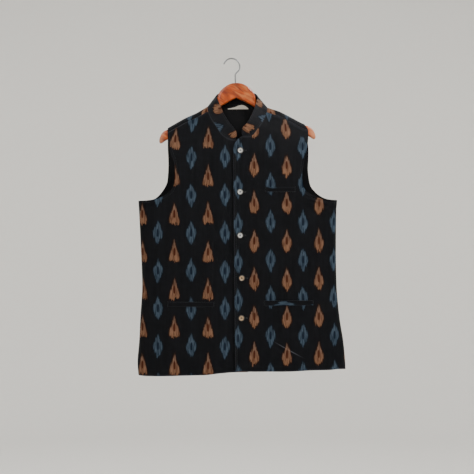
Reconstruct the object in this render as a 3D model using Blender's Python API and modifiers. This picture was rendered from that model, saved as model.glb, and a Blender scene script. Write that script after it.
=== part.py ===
"""Nehru jacket hanging on a wooden hanger: a sleeveless jacket with a stand collar.

Frame: metres, +Z up. The front faces -Y and +X is the wearer's left side. The origin is on the
underside of the hook's wire, straight above the hanger's stem, where a rail holds it up.
All sizes below are in millimetres, and MM turns them to metres.

The cloth is drawn flat first, as (x, z), and two surface functions give it its depth: front_point
for the fronts, and back_point for the back, which folds over the shoulders. Every panel is a grid
between its four edges, and what lies on a panel is made from the same surface, moved outwards.
"""
import math

import bmesh
import bpy
from mathutils import Vector

MM = 0.001

# Cloth and seams
WALL = 2.0                  # ikat cotton, interlining and lining, pressed together
LINING_WALL = 1.0
COLLAR_WALL = 2.5
WELT_WALL = 1.5
LABEL_WALL = 0.6
GAP = 0.3                   # clear space between two pieces that meet
LAID_GAP = 0.6              # a welt or label stands this far over the curved cloth
SEAM_HALF = 0.35            # half the clear space along a side seam
COLLAR_GAP = 0.9            # the collar's lower edge stands this far above the neckline

# Shoulder: the back folds over the ridge, to a seam on the front side
FOLD_DROP = 15.0            # the fold's lower ends lie this far under the ridge
FOLD_HALF = 13.5            # half the fold's depth from front to back
FOLD_LENGTH = 44.0          # cloth that goes over the fold
NECK_EXTRA = 4.0            # more depth behind the neck, where the hanger's wood is widest
NECK_CENTRE = 7.0
NECK_NEAR = 60.0
NECK_FAR = 90.0

RIDGE = (  # x, z: top line of the shoulders, carried on as an arch over the open neck
    (-215, -204.0),
    (-189, -190.0),
    (-179, -184.5),
    (-159, -173.0),
    (-138, -161.5),
    (-107, -147.5),
    (-90, -137.5),
    (-77, -129.5),
    (-58, -116.5),
    (-40, -108.0),
    (-15, -96.5),
    (7, -92.0),
    (30, -97.0),
    (54, -108.5),
    (72, -119.5),
    (90, -132.5),
    (106, -138.0),
    (120, -142.5),
    (148, -156.0),
    (176, -171.0),
    (189, -177.5),
    (202, -181.0),
    (215, -189.0),
)

SIDE_SEAMS = (  # z, wearer's right x, wearer's left x
    (-890, -270.0, 310.0),
    (-845, -273.5, 308.0),
    (-790, -269.0, 303.0),
    (-720, -265.5, 292.0),
    (-630, -260.5, 284.0),
    (-530, -264.0, 282.0),
    (-420, -269.5, 283.0),
    (-393, -271.0, 285.0),
    (-300, -274.0, 288.0),
    (-150, -276.0, 290.0),
)

DEPTH = (  # distance under the ridge, front depth, back depth
    (0, 13.5, 13.5),
    (15, 13.5, 13.5),
    (24, 14.8, 14.5),
    (42, 19.5, 17.5),
    (70, 26.0, 21.5),
    (110, 31.5, 25.5),
    (160, 36.0, 29.0),
    (240, 39.5, 32.5),
    (400, 41.5, 35.0),
    (600, 42.5, 36.5),
    (850, 43.5, 38.0),
)
SIDE_ROUND = 2.4            # exponent of the rounding towards the side seams
ROUND_FROM = 30.0           # the rounding sets in between these distances under the ridge
ROUND_TO = 150.0

FRONT_FOLDS = (  # x at the hem, x at its upper end, upper end z, width, height
    (-196, -150, -430, 30, 4.5),
    (-112, -120, -560, 26, -3.5),
    (-58, -66, -640, 22, 3.0),
    (92, 84, -700, 24, -3.0),
    (168, 120, -470, 32, 4.5),
    (246, 214, -590, 26, -4.5),
)
BACK_FOLDS = (
    (-190, -140, -380, 34, 5.0),
    (-96, -92, -520, 28, -4.0),
    (12, 7, -300, 36, 4.5),
    (118, 96, -540, 30, -4.0),
    (214, 160, -400, 34, 5.5),
)

# Hems, from the wearer's right to the left
HEM_RIGHT = ((-270, -881), (-240, -881.5), (-158, -879), (-89, -877), (-47, -872), (-5, -869), (35, -868))
HEM_LEFT = ((309, -863.5), (285, -862.5), (256, -864.5), (201, -864.5), (132, -867), (49, -867), (0.5, -866))
HEM_BACK = ((309, -863.5), (220, -866), (110, -869), (15, -872), (-90, -876), (-190, -879), (-270, -881))

# Armholes from the underarm up to the shoulder seam, cut deeper in the fronts than in the back
ARMHOLE_RIGHT = (
    (-271, -394),
    (-244, -393),
    (-222, -390),
    (-206, -384.5),
    (-186, -373.5),
    (-173.5, -360),
    (-167.5, -336),
    (-168.5, -292),
    (-180.5, -256),
    (-187, -228),
    (-188.5, -205),
)
ARMHOLE_LEFT = (
    (285, -392),
    (262, -391.5),
    (242, -389.5),
    (221, -383),
    (205, -373.5),
    (192.5, -362),
    (187, -345),
    (185.5, -322),
    (191, -283),
    (199, -248),
    (203, -224),
    (203.5, -202.5),
)
BACK_ARMHOLE_RIGHT = (  # x, z, up to the fold behind the shoulder
    (-271, -394),
    (-246, -392.5),
    (-226, -387),
    (-213, -376),
    (-204, -364.5),
    (-197, -353),
    (-191, -335),
    (-188.5, -290),
    (-190, -240),
    (-189, -205),
)
BACK_ARMHOLE_LEFT = (
    (285, -392),
    (256, -387.5),
    (235, -376.5),
    (222.5, -365),
    (213, -352.5),
    (208, -333),
    (205, -305),
    (206, -275),
    (206, -245),
    (200, -200.4),
)
FOLD_END_RIGHT = ((-189, 0), (-188.5, 22), (-188.5, 44))   # x, way round the fold
FOLD_END_LEFT = ((200, 0), (191, 20), (195, 32), (203.5, 44))

# Neckline: x, z, then the collar's upper edge x, y, z. The wearer's right front, from the shoulder
# to the collar's end at the centre
NECK_RIGHT = (
    (-76.0, -144.5, -50.0, -13.0, -110.5),
    (-67.0, -165.0, -41.0, -22.0, -131.5),
    (-56.0, -182.0, -33.5, -29.5, -149.5),
    (-45.5, -199.0, -25.5, -34.5, -164.0),
    (-36.5, -211.0, -17.5, -37.5, -176.5),
    (-26.0, -219.0, -9.0, -38.5, -187.0),
    (-14.5, -224.0, -1.0, -38.5, -197.0),
    (-6.5, -225.0, 3.0, -37.5, -206.5),
    (0.0, -225.0, 2.5, -36.0, -216.5),
)
NECK_LEFT = (
    (88.0, -146.5, 60.0, -13.0, -113.5),
    (80.0, -167.0, 55.5, -22.0, -132.5),
    (69.5, -183.5, 49.0, -29.5, -149.5),
    (59.5, -199.0, 42.5, -34.5, -163.0),
    (52.0, -209.5, 36.5, -37.5, -174.0),
    (44.0, -215.0, 30.0, -38.5, -183.0),
    (35.5, -216.5, 22.5, -38.5, -190.0),
    (28.0, -216.5, 19.0, -38.0, -200.0),
    (22.0, -216.0, 19.5, -37.0, -209.0),
)
# The back's neckline: x, way round the fold (below it, distance under it), and the upper edge
NECK_BACK = (
    (-76.0, 44.0, -50.0, -13.0, -110.5),
    (-77.5, 33.0, -53.0, -6.5, -103.5),
    (-76.5, 22.0, -53.0, 0.5, -98.0),
    (-70.0, 12.7, -49.0, 9.5, -93.5),
    (-58.0, 6.8, -40.0, 17.0, -89.0),
    (-40.0, 0.0, -27.0, 21.0, -86.5),
    (-16.0, -10.5, -10.0, 23.0, -85.0),
    (7.0, -15.5, 7.0, 23.5, -84.5),
    (30.0, -10.5, 24.0, 23.0, -85.0),
    (54.0, 0.0, 41.0, 21.0, -87.0),
    (71.0, 6.8, 53.0, 17.0, -90.0),
    (83.0, 12.7, 60.0, 9.5, -95.0),
    (89.5, 22.0, 62.5, 0.5, -100.0),
    (90.0, 33.0, 62.0, -6.5, -106.0),
    (88.0, 44.0, 60.0, -13.0, -113.5),
)

# Centre front. The left front lies on top; the right front steps back under it
LEFT_FRONT_EDGE = ((0.5, -866), (-2.5, -560), (-4.4, -360), (-5, -290), (-5, -265), (-4.7, -252), (-3.4, -242),
                   (-0.5, -234.5))
LEFT_TOP_CORNER = ((22, -216), (14, -218.5), (6, -225.5), (-0.5, -234.5))
RIGHT_FRONT_EDGE = ((35, -868), (33, -540), (31, -226))
RIGHT_TOP_EDGE = ((0, -225), (15, -225.5), (31, -226))
UNDERLAP_FROM = -32.0
UNDERLAP_TO = -10.0
UNDERLAP_STEP = WALL + 0.6

# Welts: x from, x to, z of the lower edge, z of the upper edge
WELTS = {
    "chest_welt": ("front_left", 84, 165, -369.5, -357),
    "pocket_welt_left": ("front_left", 81, 215, -684, -670.5),
    "pocket_welt_right": ("front_right", -185.5, -58.5, -687.5, -674.5),
}

# How finely the panels are divided
SHOULDER_COLUMNS = 8
SIDE_ROWS = 13
ARMHOLE_ROWS = 12
FOLD_ROWS = 7
NECK_CORNER = 4             # row of the back's neckline where the shoulder's fold begins
COLLAR_ROWS = 3
HEM_CROWD = 1.9             # the columns crowd towards the side seams
EASE_ROUNDS = 60
EASE_LEAST = 12.0           # least area that two of a cell's edges span, in square millimetres
SHOULDER_CROWD = 1.3
UNDERARM = -385.0           # below it a panel stays on its own side of the side seams

BUTTONS = ((14.4, -255.5), (13.5, -370.4), (13.5, -490.6), (18.2, -608.5), (17.4, -718.9))
BUTTON_PROFILE = (  # radius, height over the cloth, from the middle of the face round to the back
    (0, 1.6),
    (5.2, 1.7),
    (6.3, 2.8),
    (7.8, 2.8),
    (8.7, 1.9),
    (8.6, 0.8),
    (7.2, 0.0),
    (0, 0.0),
)
BUTTON_STEPS = 20

LABEL = (-21, 37, -135.0, -119.3)      # x from, x to, z of the lower edge, z of the upper edge
LINING_SIDE = 22.0                     # the lining ends this far inside the back's side edges
LINING_END = 6.0                       # and this far inside its hem, neck and shoulder folds
LINING_GAP = 1.4                       # it hangs a little free of the back

# Hanger and hook, drawn upright and then tilted about the origin
HANG_TILT = math.radians(1.6)
WOOD_HALF = 8.5
WOOD_ROUND = 6.5
WOOD_OUTLINE = (  # x, z: half of the wood, from the top of the neck round the arm to the notch
    (0, -63.8),
    (9, -64.4),
    (18, -66.6),
    (27, -71.0),
    (36, -77.0),
    (44, -84.8),
    (50, -94.0),
    (53.5, -105.0),
    (55.0, -118.0),
    (60.0, -129.0),
    (72.0, -136.5),
    (90.0, -141.0),
    (108.0, -147.5),
    (128.0, -156.0),
    (142.0, -163.5),
    (156.0, -172.0),
    (172.0, -181.0),
    (184.0, -187.5),
    (196.0, -189.5),
    (206.0, -194.0),
    (213.0, -202.0),
    (217.5, -212.0),
    (219.3, -221.0),
    (218.0, -227.0),
    (213.0, -228.0),
    (202.0, -220.5),
    (186.0, -212.0),
    (166.0, -203.5),
    (144.0, -193.5),
    (122.0, -182.5),
    (100.0, -171.0),
    (80.0, -158.0),
    (62.0, -142.5),
    (42.0, -127.5),
    (22.0, -117.0),
    (0, -106.2),
)
WIRE = 2.0                  # radius of the hook's wire
HOOK_RADIUS = 22.6
HOOK_CENTRE_X = -10.5
HOOK_TIP_ANGLE = 163.0      # degrees from +X, where the wire begins
HOOK_LEAVE_ANGLE = -16.0    # where it leaves the round for the stem
STEM_X = -1.2
STEM_TOP = -44.0
STEM_BOTTOM = -76.0
BORE_SIDES = 20


def clear_scene():
    for old in list(bpy.data.objects):
        bpy.data.objects.remove(old, do_unlink=True)


def new_collection(name):
    collection = bpy.data.collections.new(name)
    bpy.context.scene.collection.children.link(collection)
    return collection


def material(name, colour, roughness, metallic=0.0):
    finish = bpy.data.materials.new(name)
    finish.use_nodes = True
    shader = finish.node_tree.nodes["Principled BSDF"]
    shader.inputs["Base Color"].default_value = (*colour, 1.0)
    shader.inputs["Roughness"].default_value = roughness
    shader.inputs["Metallic"].default_value = metallic
    return finish


def place(thing, collection, finish):
    for old in list(thing.users_collection):
        old.objects.unlink(thing)
    collection.objects.link(thing)
    thing.data.materials.clear()
    thing.data.materials.append(finish)
    return thing


# Curves through tables

def table_value(rows, column, at):
    """Read a table between its rows, on a smooth curve that never overshoots them."""
    if at <= rows[0][0]:
        return rows[0][column]
    if at >= rows[-1][0]:
        return rows[-1][column]
    index = 0
    while rows[index + 1][0] < at:
        index += 1
    x0, x1 = rows[index][0], rows[index + 1][0]
    y0, y1 = rows[index][column], rows[index + 1][column]
    slope = (y1 - y0) / (x1 - x0)
    before = table_slope(rows, column, index, slope)
    after = table_slope(rows, column, index + 1, slope)
    t = (at - x0) / (x1 - x0)
    span = x1 - x0
    return (y0 * (1 + 2 * t) * (1 - t) ** 2 + before * span * t * (1 - t) ** 2
            + y1 * t * t * (3 - 2 * t) + after * span * t * t * (t - 1))


def table_slope(rows, column, index, end_slope):
    if index == 0 or index == len(rows) - 1:
        return end_slope
    left = (rows[index][column] - rows[index - 1][column]) / (rows[index][0] - rows[index - 1][0])
    right = (rows[index + 1][column] - rows[index][column]) / (rows[index + 1][0] - rows[index][0])
    if left * right <= 0:
        return 0.0
    return 2 * left * right / (left + right)


def spline_point(points, at):
    """Catmull-Rom point, where at counts along the points from 0."""
    index = min(int(at), len(points) - 2)
    t = at - index
    here = Vector(points[index])
    there = Vector(points[index + 1])
    before = Vector(points[index - 1]) if index > 0 else here * 2 - there
    after = Vector(points[index + 2]) if index + 2 < len(points) else there * 2 - here
    return 0.5 * (here * 2 + (there - before) * t
                  + (before * 2 - here * 5 + there * 4 - after) * t * t
                  + (here * 3 - before - there * 3 + after) * t * t * t)


def along(points, shares):
    """Points on the smooth curve through a table, at the given shares of its length."""
    steps = 24 * (len(points) - 1)
    dense = [spline_point(points, i * (len(points) - 1) / steps) for i in range(steps + 1)]
    lengths = [0.0]
    for a, b in zip(dense, dense[1:]):
        lengths.append(lengths[-1] + (b - a).length)
    found = []
    index = 0
    for share in shares:
        target = share * lengths[-1]
        while index < steps - 1 and lengths[index + 1] < target:
            index += 1
        piece = lengths[index + 1] - lengths[index]
        t = (target - lengths[index]) / piece
        found.append(dense[index].lerp(dense[index + 1], min(max(t, 0.0), 1.0)))
    return found


def even(count):
    return [i / count for i in range(count + 1)]


def crowded(count, power):
    """Shares from 0 to 1 that crowd towards 0, where the cloth turns into the side seam."""
    return [(i / count) ** power for i in range(count + 1)]


def joined(*stretches):
    """One edge from several stretches, each ending where the next begins."""
    whole = list(stretches[0])
    for stretch in stretches[1:]:
        whole.extend(stretch[1:])
    return whole


# The cloth's surfaces

def ridge(x):
    return table_value(RIDGE, 1, x)


def blend(at, low, high):
    t = min(max((at - low) / (high - low), 0.0), 1.0)
    return t * t * (3 - 2 * t)


def side_rounding(x, z, under):
    """1 in the middle of a panel, falling to 0 at the side seam."""
    right = table_value(SIDE_SEAMS, 1, z)
    left = table_value(SIDE_SEAMS, 2, z)
    across = min(abs(2 * x - left - right) / (left - right), 1.0)
    rounded = (1 - across ** SIDE_ROUND) ** (1 / SIDE_ROUND)
    return 1 - blend(under, ROUND_FROM, ROUND_TO) * (1 - rounded)


def folds(rows, x, z):
    """Soft vertical folds that grow from their upper end down to the hem."""
    total = 0.0
    for hem_x, top_x, top_z, width, height in rows:
        down = (top_z - z) / (top_z + 880)
        if down > 0:
            middle = top_x + (hem_x - top_x) * down
            total += height * blend(down, 0, 1) * math.exp(-((x - middle) / width) ** 2)
    return total


def front_point(x, z):
    under = ridge(x) - z
    rounding = side_rounding(x, z, under)
    depth = (table_value(DEPTH, 1, under) + folds(FRONT_FOLDS, x, z)) * rounding
    return Vector((x, -SEAM_HALF - depth, z))


def under_point(x, z):
    """The right front's surface, which steps back under the left front."""
    point = front_point(x, z)
    point.y += UNDERLAP_STEP * blend(x, UNDERLAP_FROM, UNDERLAP_TO)
    return point


def neck_share(x):
    return 1 - blend(abs(x - NECK_CENTRE), NECK_NEAR, NECK_FAR)


def back_point(x, flat_z):
    """flat_z goes on past the shoulder's fold, as if the cloth were laid out flat."""
    way = flat_z - (ridge(x) - FOLD_DROP)
    behind = FOLD_HALF + NECK_EXTRA * neck_share(x)
    if way > 0:
        angle = math.pi * way / FOLD_LENGTH
        reach = behind if angle < math.pi / 2 else FOLD_HALF
        height = ridge(x) - FOLD_DROP + FOLD_DROP * math.sin(angle)
        return Vector((x, reach * math.cos(angle), height))
    under = FOLD_DROP - way
    rounding = side_rounding(x, flat_z, under)
    extra = NECK_EXTRA * neck_share(x) * (1 - blend(under, FOLD_DROP, 110))
    depth = (table_value(DEPTH, 2, under) + extra + folds(BACK_FOLDS, x, flat_z)) * rounding
    return Vector((x, SEAM_HALF + depth, flat_z))


def on_fold(x, way):
    """Flat place on the back, from the way round its shoulder fold."""
    return (x, ridge(x) - FOLD_DROP + way)


def moved_out(surface, side, x, z, distance):
    """A point over a surface. side is -1 on the fronts and 1 on the back."""
    step = 0.5
    across = surface(x + step, z) - surface(x - step, z)
    up = surface(x, z + step) - surface(x, z - step)
    normal = across.cross(up).normalized() * -side
    return surface(x, z) + normal * distance


# Meshes

def grid_sheet(name, points, surface, thickness, collection, finish, own_side=0):
    """A sheet of cloth: flat points by column and row, laid on a surface and given thickness inwards.

    Places without a point are left out. own_side is -1 or 1 for the panels that meet at the side
    seams, so that their inner corners do not cross over.
    """
    columns = len(points) - 1
    rows = len(points[0]) - 1
    bpy.ops.mesh.primitive_grid_add(x_subdivisions=columns, y_subdivisions=rows, size=1.0)
    sheet = bpy.context.object
    sheet.name = name
    sheet.data.name = name
    shape = bmesh.new()
    shape.from_mesh(sheet.data)
    spare = []
    for vertex in shape.verts:
        column = round((vertex.co.x + 0.5) * columns)
        row = round((vertex.co.y + 0.5) * rows)
        if points[column][row] is None:
            spare.append(vertex)
        else:
            vertex.co = surface(*points[column][row]) * MM
    bmesh.ops.delete(shape, geom=spare, context="VERTS")
    shape.to_mesh(sheet.data)
    shape.free()
    wall = sheet.modifiers.new("Wall", "SOLIDIFY")
    wall.thickness = thickness * MM
    wall.offset = -1.0
    bpy.ops.object.modifier_apply(modifier="Wall")
    for vertex in sheet.data.vertices:
        if own_side and vertex.co.z < UNDERARM * MM and vertex.co.y * own_side < GAP / 2 * MM:
            vertex.co.y = own_side * GAP / 2 * MM
    return place(sheet, collection, finish)


def patch(bottom, top, first, last):
    """Flat points between four edges, by column and row."""
    columns = len(bottom) - 1
    rows = len(first) - 1
    grid = []
    for i in range(columns + 1):
        u = i / columns
        line = []
        for j in range(rows + 1):
            v = j / rows
            corner = ((bottom[0] * (1 - u) + bottom[-1] * u) * (1 - v)
                      + (top[0] * (1 - u) + top[-1] * u) * v)
            line.append(first[j] * (1 - u) + last[j] * u + bottom[i] * (1 - v) + top[i] * v - corner)
        grid.append(line)
    return grid


def eased(grid):
    """The same points, drawn apart where a cell would fold over, as the patch's do by the underarms."""
    columns = len(grid) - 1
    rows = len(grid[0]) - 1
    for _ in range(EASE_ROUNDS):
        tight = set()
        for i in range(columns):
            for j in range(rows):
                corners = [grid[i][j], grid[i + 1][j], grid[i + 1][j + 1], grid[i][j + 1]]
                for at in range(4):
                    here = corners[at]
                    ahead = corners[(at + 1) % 4] - here
                    behind = corners[at - 1] - here
                    if ahead.x * behind.y - ahead.y * behind.x < EASE_LEAST:
                        tight.update((p, q) for p in (i, i + 1) for q in (j, j + 1))
        tight = sorted((i, j) for i, j in tight if 0 < i < columns and 0 < j < rows)
        if not tight:
            break
        for i, j in tight:
            grid[i][j] = (grid[i - 1][j] + grid[i + 1][j] + grid[i][j - 1] + grid[i][j + 1]) / 4
    return grid


def flat(rows):
    return [Vector((row[0], row[1])) for row in rows]


def side_edge(table_column, hem_z, underarm_z, count):
    """The side seam from the hem up to the underarm."""
    edge = []
    for share in even(count):
        z = hem_z + (underarm_z - hem_z) * share
        edge.append(Vector((table_value(SIDE_SEAMS, table_column, z), z)))
    return edge


def shoulder_line(from_x, from_way, to_x, to_way):
    """A line along the shoulder, from the armhole to the neck."""
    line = []
    for share in crowded(SHOULDER_COLUMNS, SHOULDER_CROWD):
        x = from_x + (to_x - from_x) * share
        line.append(Vector(on_fold(x, from_way + (to_way - from_way) * share)))
    return line


def front_panel(name, side_column, hem, armhole, neck, top_end, centre_edge, surface, collection, finish):
    seam = shoulder_line(armhole[-1][0], -GAP, neck[0][0], -GAP)
    top = joined(seam, flat(neck), along(top_end, even(2)))
    columns = len(top) - 1
    side = joined(side_edge(side_column, hem[0][1], armhole[0][1], SIDE_ROWS),
                  along(armhole, even(ARMHOLE_ROWS)))
    side[-1] = top[0]
    centre = along(centre_edge, even(SIDE_ROWS + ARMHOLE_ROWS))
    bottom = along(hem, crowded(columns, HEM_CROWD))
    points = patch(bottom, top, side, centre)
    if bottom[0].x > bottom[-1].x:
        points.reverse()
    return grid_sheet(name, points, surface, WALL, collection, finish, -1)


def both_sides(count, power):
    """Shares from 0 to 1 that crowd towards both ends."""
    half = [share / 2 for share in crowded(count // 2, power)]
    return half + [1 - share for share in reversed(half[:-1])]


def neck_stations():
    """The back's neckline and the collar's upper edge, from the right shoulder seam to the left."""
    last = len(NECK_BACK) - 1
    over_fold = [NECK_CORNER * i / FOLD_ROWS for i in range(FOLD_ROWS + 1)]
    behind = list(range(NECK_CORNER + 1, last - NECK_CORNER))
    down_again = [last - at for at in reversed(over_fold)]
    return [spline_point(NECK_BACK, at) for at in over_fold + behind + down_again]


def back_body(side_inset, end_inset):
    """The back from its hem up to where the shoulders' folds begin."""
    right = joined(side_edge(1, HEM_BACK[-1][1] + end_inset, BACK_ARMHOLE_RIGHT[0][1], SIDE_ROWS),
                   along(BACK_ARMHOLE_RIGHT, even(ARMHOLE_ROWS)))
    left = joined(side_edge(2, HEM_BACK[0][1] + end_inset, BACK_ARMHOLE_LEFT[0][1], SIDE_ROWS),
                  along(BACK_ARMHOLE_LEFT, even(ARMHOLE_ROWS)))
    right = [Vector((point.x + side_inset, point.y)) for point in right]
    left = [Vector((point.x - side_inset, point.y)) for point in left]
    neck = neck_stations()[FOLD_ROWS:-FOLD_ROWS]
    from_right = shoulder_line(right[-1].x, -end_inset, neck[0][0], neck[0][1] - end_inset)
    from_left = shoulder_line(left[-1].x, -end_inset, neck[-1][0], neck[-1][1] - end_inset)
    across = [Vector(on_fold(place[0], place[1] - end_inset)) for place in neck]
    top = joined(from_right, across, list(reversed(from_left)))
    right[-1] = top[0]
    left[-1] = top[-1]
    shares = both_sides(len(top) - 1, HEM_CROWD)
    bottom = [Vector((point.x, point.y + end_inset)) for point in along(HEM_BACK[::-1], shares)]
    start = bottom[0].x
    room = (left[0].x - right[0].x) / (bottom[-1].x - start)
    bottom = [Vector((right[0].x + (point.x - start) * room, point.y)) for point in bottom]
    bottom[0] = right[0]
    bottom[-1] = left[0]
    return eased(patch(bottom, top, right, left))


def shoulder_fold(body, fold_end, neck):
    """The part of the back that goes over one shoulder, by column from the armhole to the neck."""
    start = [column[-1] for column in body]
    seam_way = FOLD_LENGTH - GAP
    seam = shoulder_line(fold_end[-1][0], seam_way, neck[0][0], seam_way)
    outer = [Vector(on_fold(*row)) for row in along(fold_end, even(FOLD_ROWS))]
    inner = [Vector(on_fold(place[0], min(place[1], seam_way))) for place in reversed(neck)]
    outer[0] = start[0]
    outer[-1] = seam[0]
    inner[0] = start[-1]
    inner[-1] = seam[-1]
    return patch(start, seam, outer, inner)


def make_back(collection, finish):
    body = back_body(0.0, 0.0)
    stations = neck_stations()
    right = shoulder_fold(body[:SHOULDER_COLUMNS + 1], FOLD_END_RIGHT, stations[:FOLD_ROWS + 1])
    left = shoulder_fold(body[:-SHOULDER_COLUMNS - 2:-1], FOLD_END_LEFT,
                         stations[:-FOLD_ROWS - 2:-1])
    open_neck = [[None] * (FOLD_ROWS + 1)] * (len(body) - 2 * len(right))
    points = [low + high[1:] for low, high in zip(body, right + open_neck + left[::-1])]
    points.reverse()
    grid_sheet("back", points, back_point, WALL, collection, finish, 1)


def make_back_lining(collection, finish):
    """The lining hangs inside the back, up to where the shoulders begin to fold."""
    points = back_body(LINING_SIDE, LINING_END)
    points.reverse()
    depth = -(WALL + LINING_GAP)
    grid_sheet("back_lining", points, lambda x, z: moved_out(back_point, 1, x, z, depth),
               LINING_WALL, collection, finish)


def make_collar(collection, finish):
    """The stand collar: a band between the neckline and its own upper edge."""
    seam = [under_point(row[0], row[1]) for row in reversed(NECK_RIGHT)]
    rim = [Vector(row[2:]) for row in reversed(NECK_RIGHT)]
    for place in neck_stations()[1:-1]:
        seam.append(back_point(*on_fold(place[0], place[1])))
        rim.append(Vector(place[2:]))
    seam.extend(front_point(row[0], row[1]) for row in NECK_LEFT)
    rim.extend(Vector(row[2:]) for row in NECK_LEFT)
    points = [[(column, row) for row in range(COLLAR_ROWS + 1)] for column in range(len(seam))]

    def surface(column, row):
        foot = seam[column]
        edge = rim[column]
        height = (edge - foot).length
        return foot.lerp(edge, (COLLAR_GAP + (height - COLLAR_GAP) * row / COLLAR_ROWS) / height)

    grid_sheet("collar", points, surface, COLLAR_WALL, collection, finish)


def strip(from_x, to_x, low_z, high_z, columns, rows):
    """Flat points of a plain strip."""
    return [[(from_x + (to_x - from_x) * i / columns, low_z + (high_z - low_z) * j / rows)
             for j in range(rows + 1)] for i in range(columns + 1)]


def make_welt(name, front, sizes, collection, finish):
    """A pocket's welt: a strip that lies on its front."""
    surface = front_point if front == "front_left" else under_point
    grid_sheet(name, strip(*sizes, 14, 2),
               lambda x, z: moved_out(surface, -1, x, z, LAID_GAP + WELT_WALL), WELT_WALL, collection, finish)


def make_label(collection, finish):
    """A bare woven label against the lining, under the neckline."""
    depth = -(WALL + LINING_GAP + LINING_WALL + LAID_GAP)
    points = strip(*LABEL, 8, 2)
    points.reverse()
    grid_sheet("neck_label", points, lambda x, z: moved_out(back_point, 1, x, z, depth),
               LABEL_WALL, collection, finish)


def make_buttons(collection, finish):
    for number, (x, z) in enumerate(BUTTONS, start=1):
        mesh = bpy.data.meshes.new("button")
        shape = bmesh.new()
        profile = [shape.verts.new((radius * MM, 0, height * MM)) for radius, height in BUTTON_PROFILE]
        for a, b in zip(profile, profile[1:]):
            shape.edges.new((a, b))
        shape.to_mesh(mesh)
        shape.free()
        button = bpy.data.objects.new("button_%d" % number, mesh)
        collection.objects.link(button)
        mesh.materials.append(finish)
        turn = button.modifiers.new("Turn", "SCREW")
        turn.steps = BUTTON_STEPS
        turn.render_steps = BUTTON_STEPS
        turn.use_merge_vertices = True
        turn.merge_threshold = 0.00005
        foot = moved_out(front_point, -1, x, z, GAP)
        outward = (foot - front_point(x, z)).normalized()
        button.location = foot * MM
        button.rotation_mode = "QUATERNION"
        button.rotation_quaternion = outward.to_track_quat("Z", "Y")


# Hanger and hook

def make_hanger(collection, cutters, finish):
    """The wooden hanger: its outline, extruded and rounded, with a bore for the hook's stem."""
    half = list(WOOD_OUTLINE)
    outline = half + [(-x, z) for x, z in reversed(half[1:-1])]
    shape = bmesh.new()
    front = [shape.verts.new((x * MM, -WOOD_HALF * MM, z * MM)) for x, z in outline]
    face = shape.faces.new(front)
    grown = bmesh.ops.extrude_face_region(shape, geom=[face])
    back = [item for item in grown["geom"] if isinstance(item, bmesh.types.BMVert)]
    bmesh.ops.translate(shape, verts=back, vec=(0, 2 * WOOD_HALF * MM, 0))
    bmesh.ops.recalc_face_normals(shape, faces=shape.faces)
    mesh = bpy.data.meshes.new("hanger")
    shape.to_mesh(mesh)
    shape.free()
    hanger = bpy.data.objects.new("hanger", mesh)
    collection.objects.link(hanger)
    mesh.materials.append(finish)
    rounding = hanger.modifiers.new("Rounding", "BEVEL")
    rounding.width = WOOD_ROUND * MM
    rounding.segments = 3
    rounding.limit_method = "ANGLE"
    rounding.angle_limit = math.radians(70)
    bore_depth = STEM_BOTTOM - 1.0
    bore_top = WOOD_OUTLINE[0][1] + 6.0
    bpy.ops.mesh.primitive_cylinder_add(
        vertices=BORE_SIDES, radius=(WIRE + GAP + 0.1) * MM, depth=(bore_top - bore_depth) * MM,
        location=(STEM_X * MM, 0, (bore_top + bore_depth) / 2 * MM))
    bore = place(bpy.context.object, cutters, finish)
    bore.name = "hook_bore"
    bore.hide_render = True
    bore.display_type = "WIRE"
    cut = hanger.modifiers.new("Bore", "BOOLEAN")
    cut.object = bore
    cut.operation = "DIFFERENCE"
    tilt = bpy.data.objects.new("hang_tilt", None)
    collection.objects.link(tilt)
    tilt.rotation_euler = (0, -HANG_TILT, 0)
    hanger.parent = tilt
    bore.parent = tilt
    return tilt


def make_hook(collection, tilt, finish):
    """The hook: a round of wire, an easy bend, and a stem that goes down into the wood."""
    centre_z = -math.sqrt((HOOK_RADIUS - WIRE) ** 2 - HOOK_CENTRE_X ** 2)
    arc_steps = 26
    points = []
    for i in range(arc_steps + 1):
        angle = math.radians(HOOK_TIP_ANGLE + (HOOK_LEAVE_ANGLE - HOOK_TIP_ANGLE) * i / arc_steps)
        points.append(Vector((HOOK_CENTRE_X + HOOK_RADIUS * math.cos(angle), 0,
                              centre_z + HOOK_RADIUS * math.sin(angle))))
    start = points[-1]
    leave = (points[-1] - points[-2]).normalized()
    end = Vector((STEM_X, 0, STEM_TOP))
    pull = 0.42 * (end - start).length
    bend_steps = 8
    for i in range(1, bend_steps + 1):
        t = i / bend_steps
        points.append(start * (1 - t) ** 3 + (start + leave * pull) * 3 * t * (1 - t) ** 2
                      + (end + Vector((0, 0, pull))) * 3 * t * t * (1 - t) + end * t ** 3)
    points.append(Vector((STEM_X, 0, (STEM_TOP + STEM_BOTTOM) / 2)))
    points.append(Vector((STEM_X, 0, STEM_BOTTOM)))
    curve = bpy.data.curves.new("hook", "CURVE")
    curve.dimensions = "3D"
    curve.bevel_depth = WIRE * MM
    curve.bevel_resolution = 2
    curve.use_fill_caps = True
    spline = curve.splines.new("POLY")
    spline.points.add(len(points) - 1)
    for slot, point in zip(spline.points, points):
        slot.co = (*(point * MM), 1.0)
    hook = bpy.data.objects.new("hook", curve)
    collection.objects.link(hook)
    curve.materials.append(finish)
    hook.parent = tilt


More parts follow.
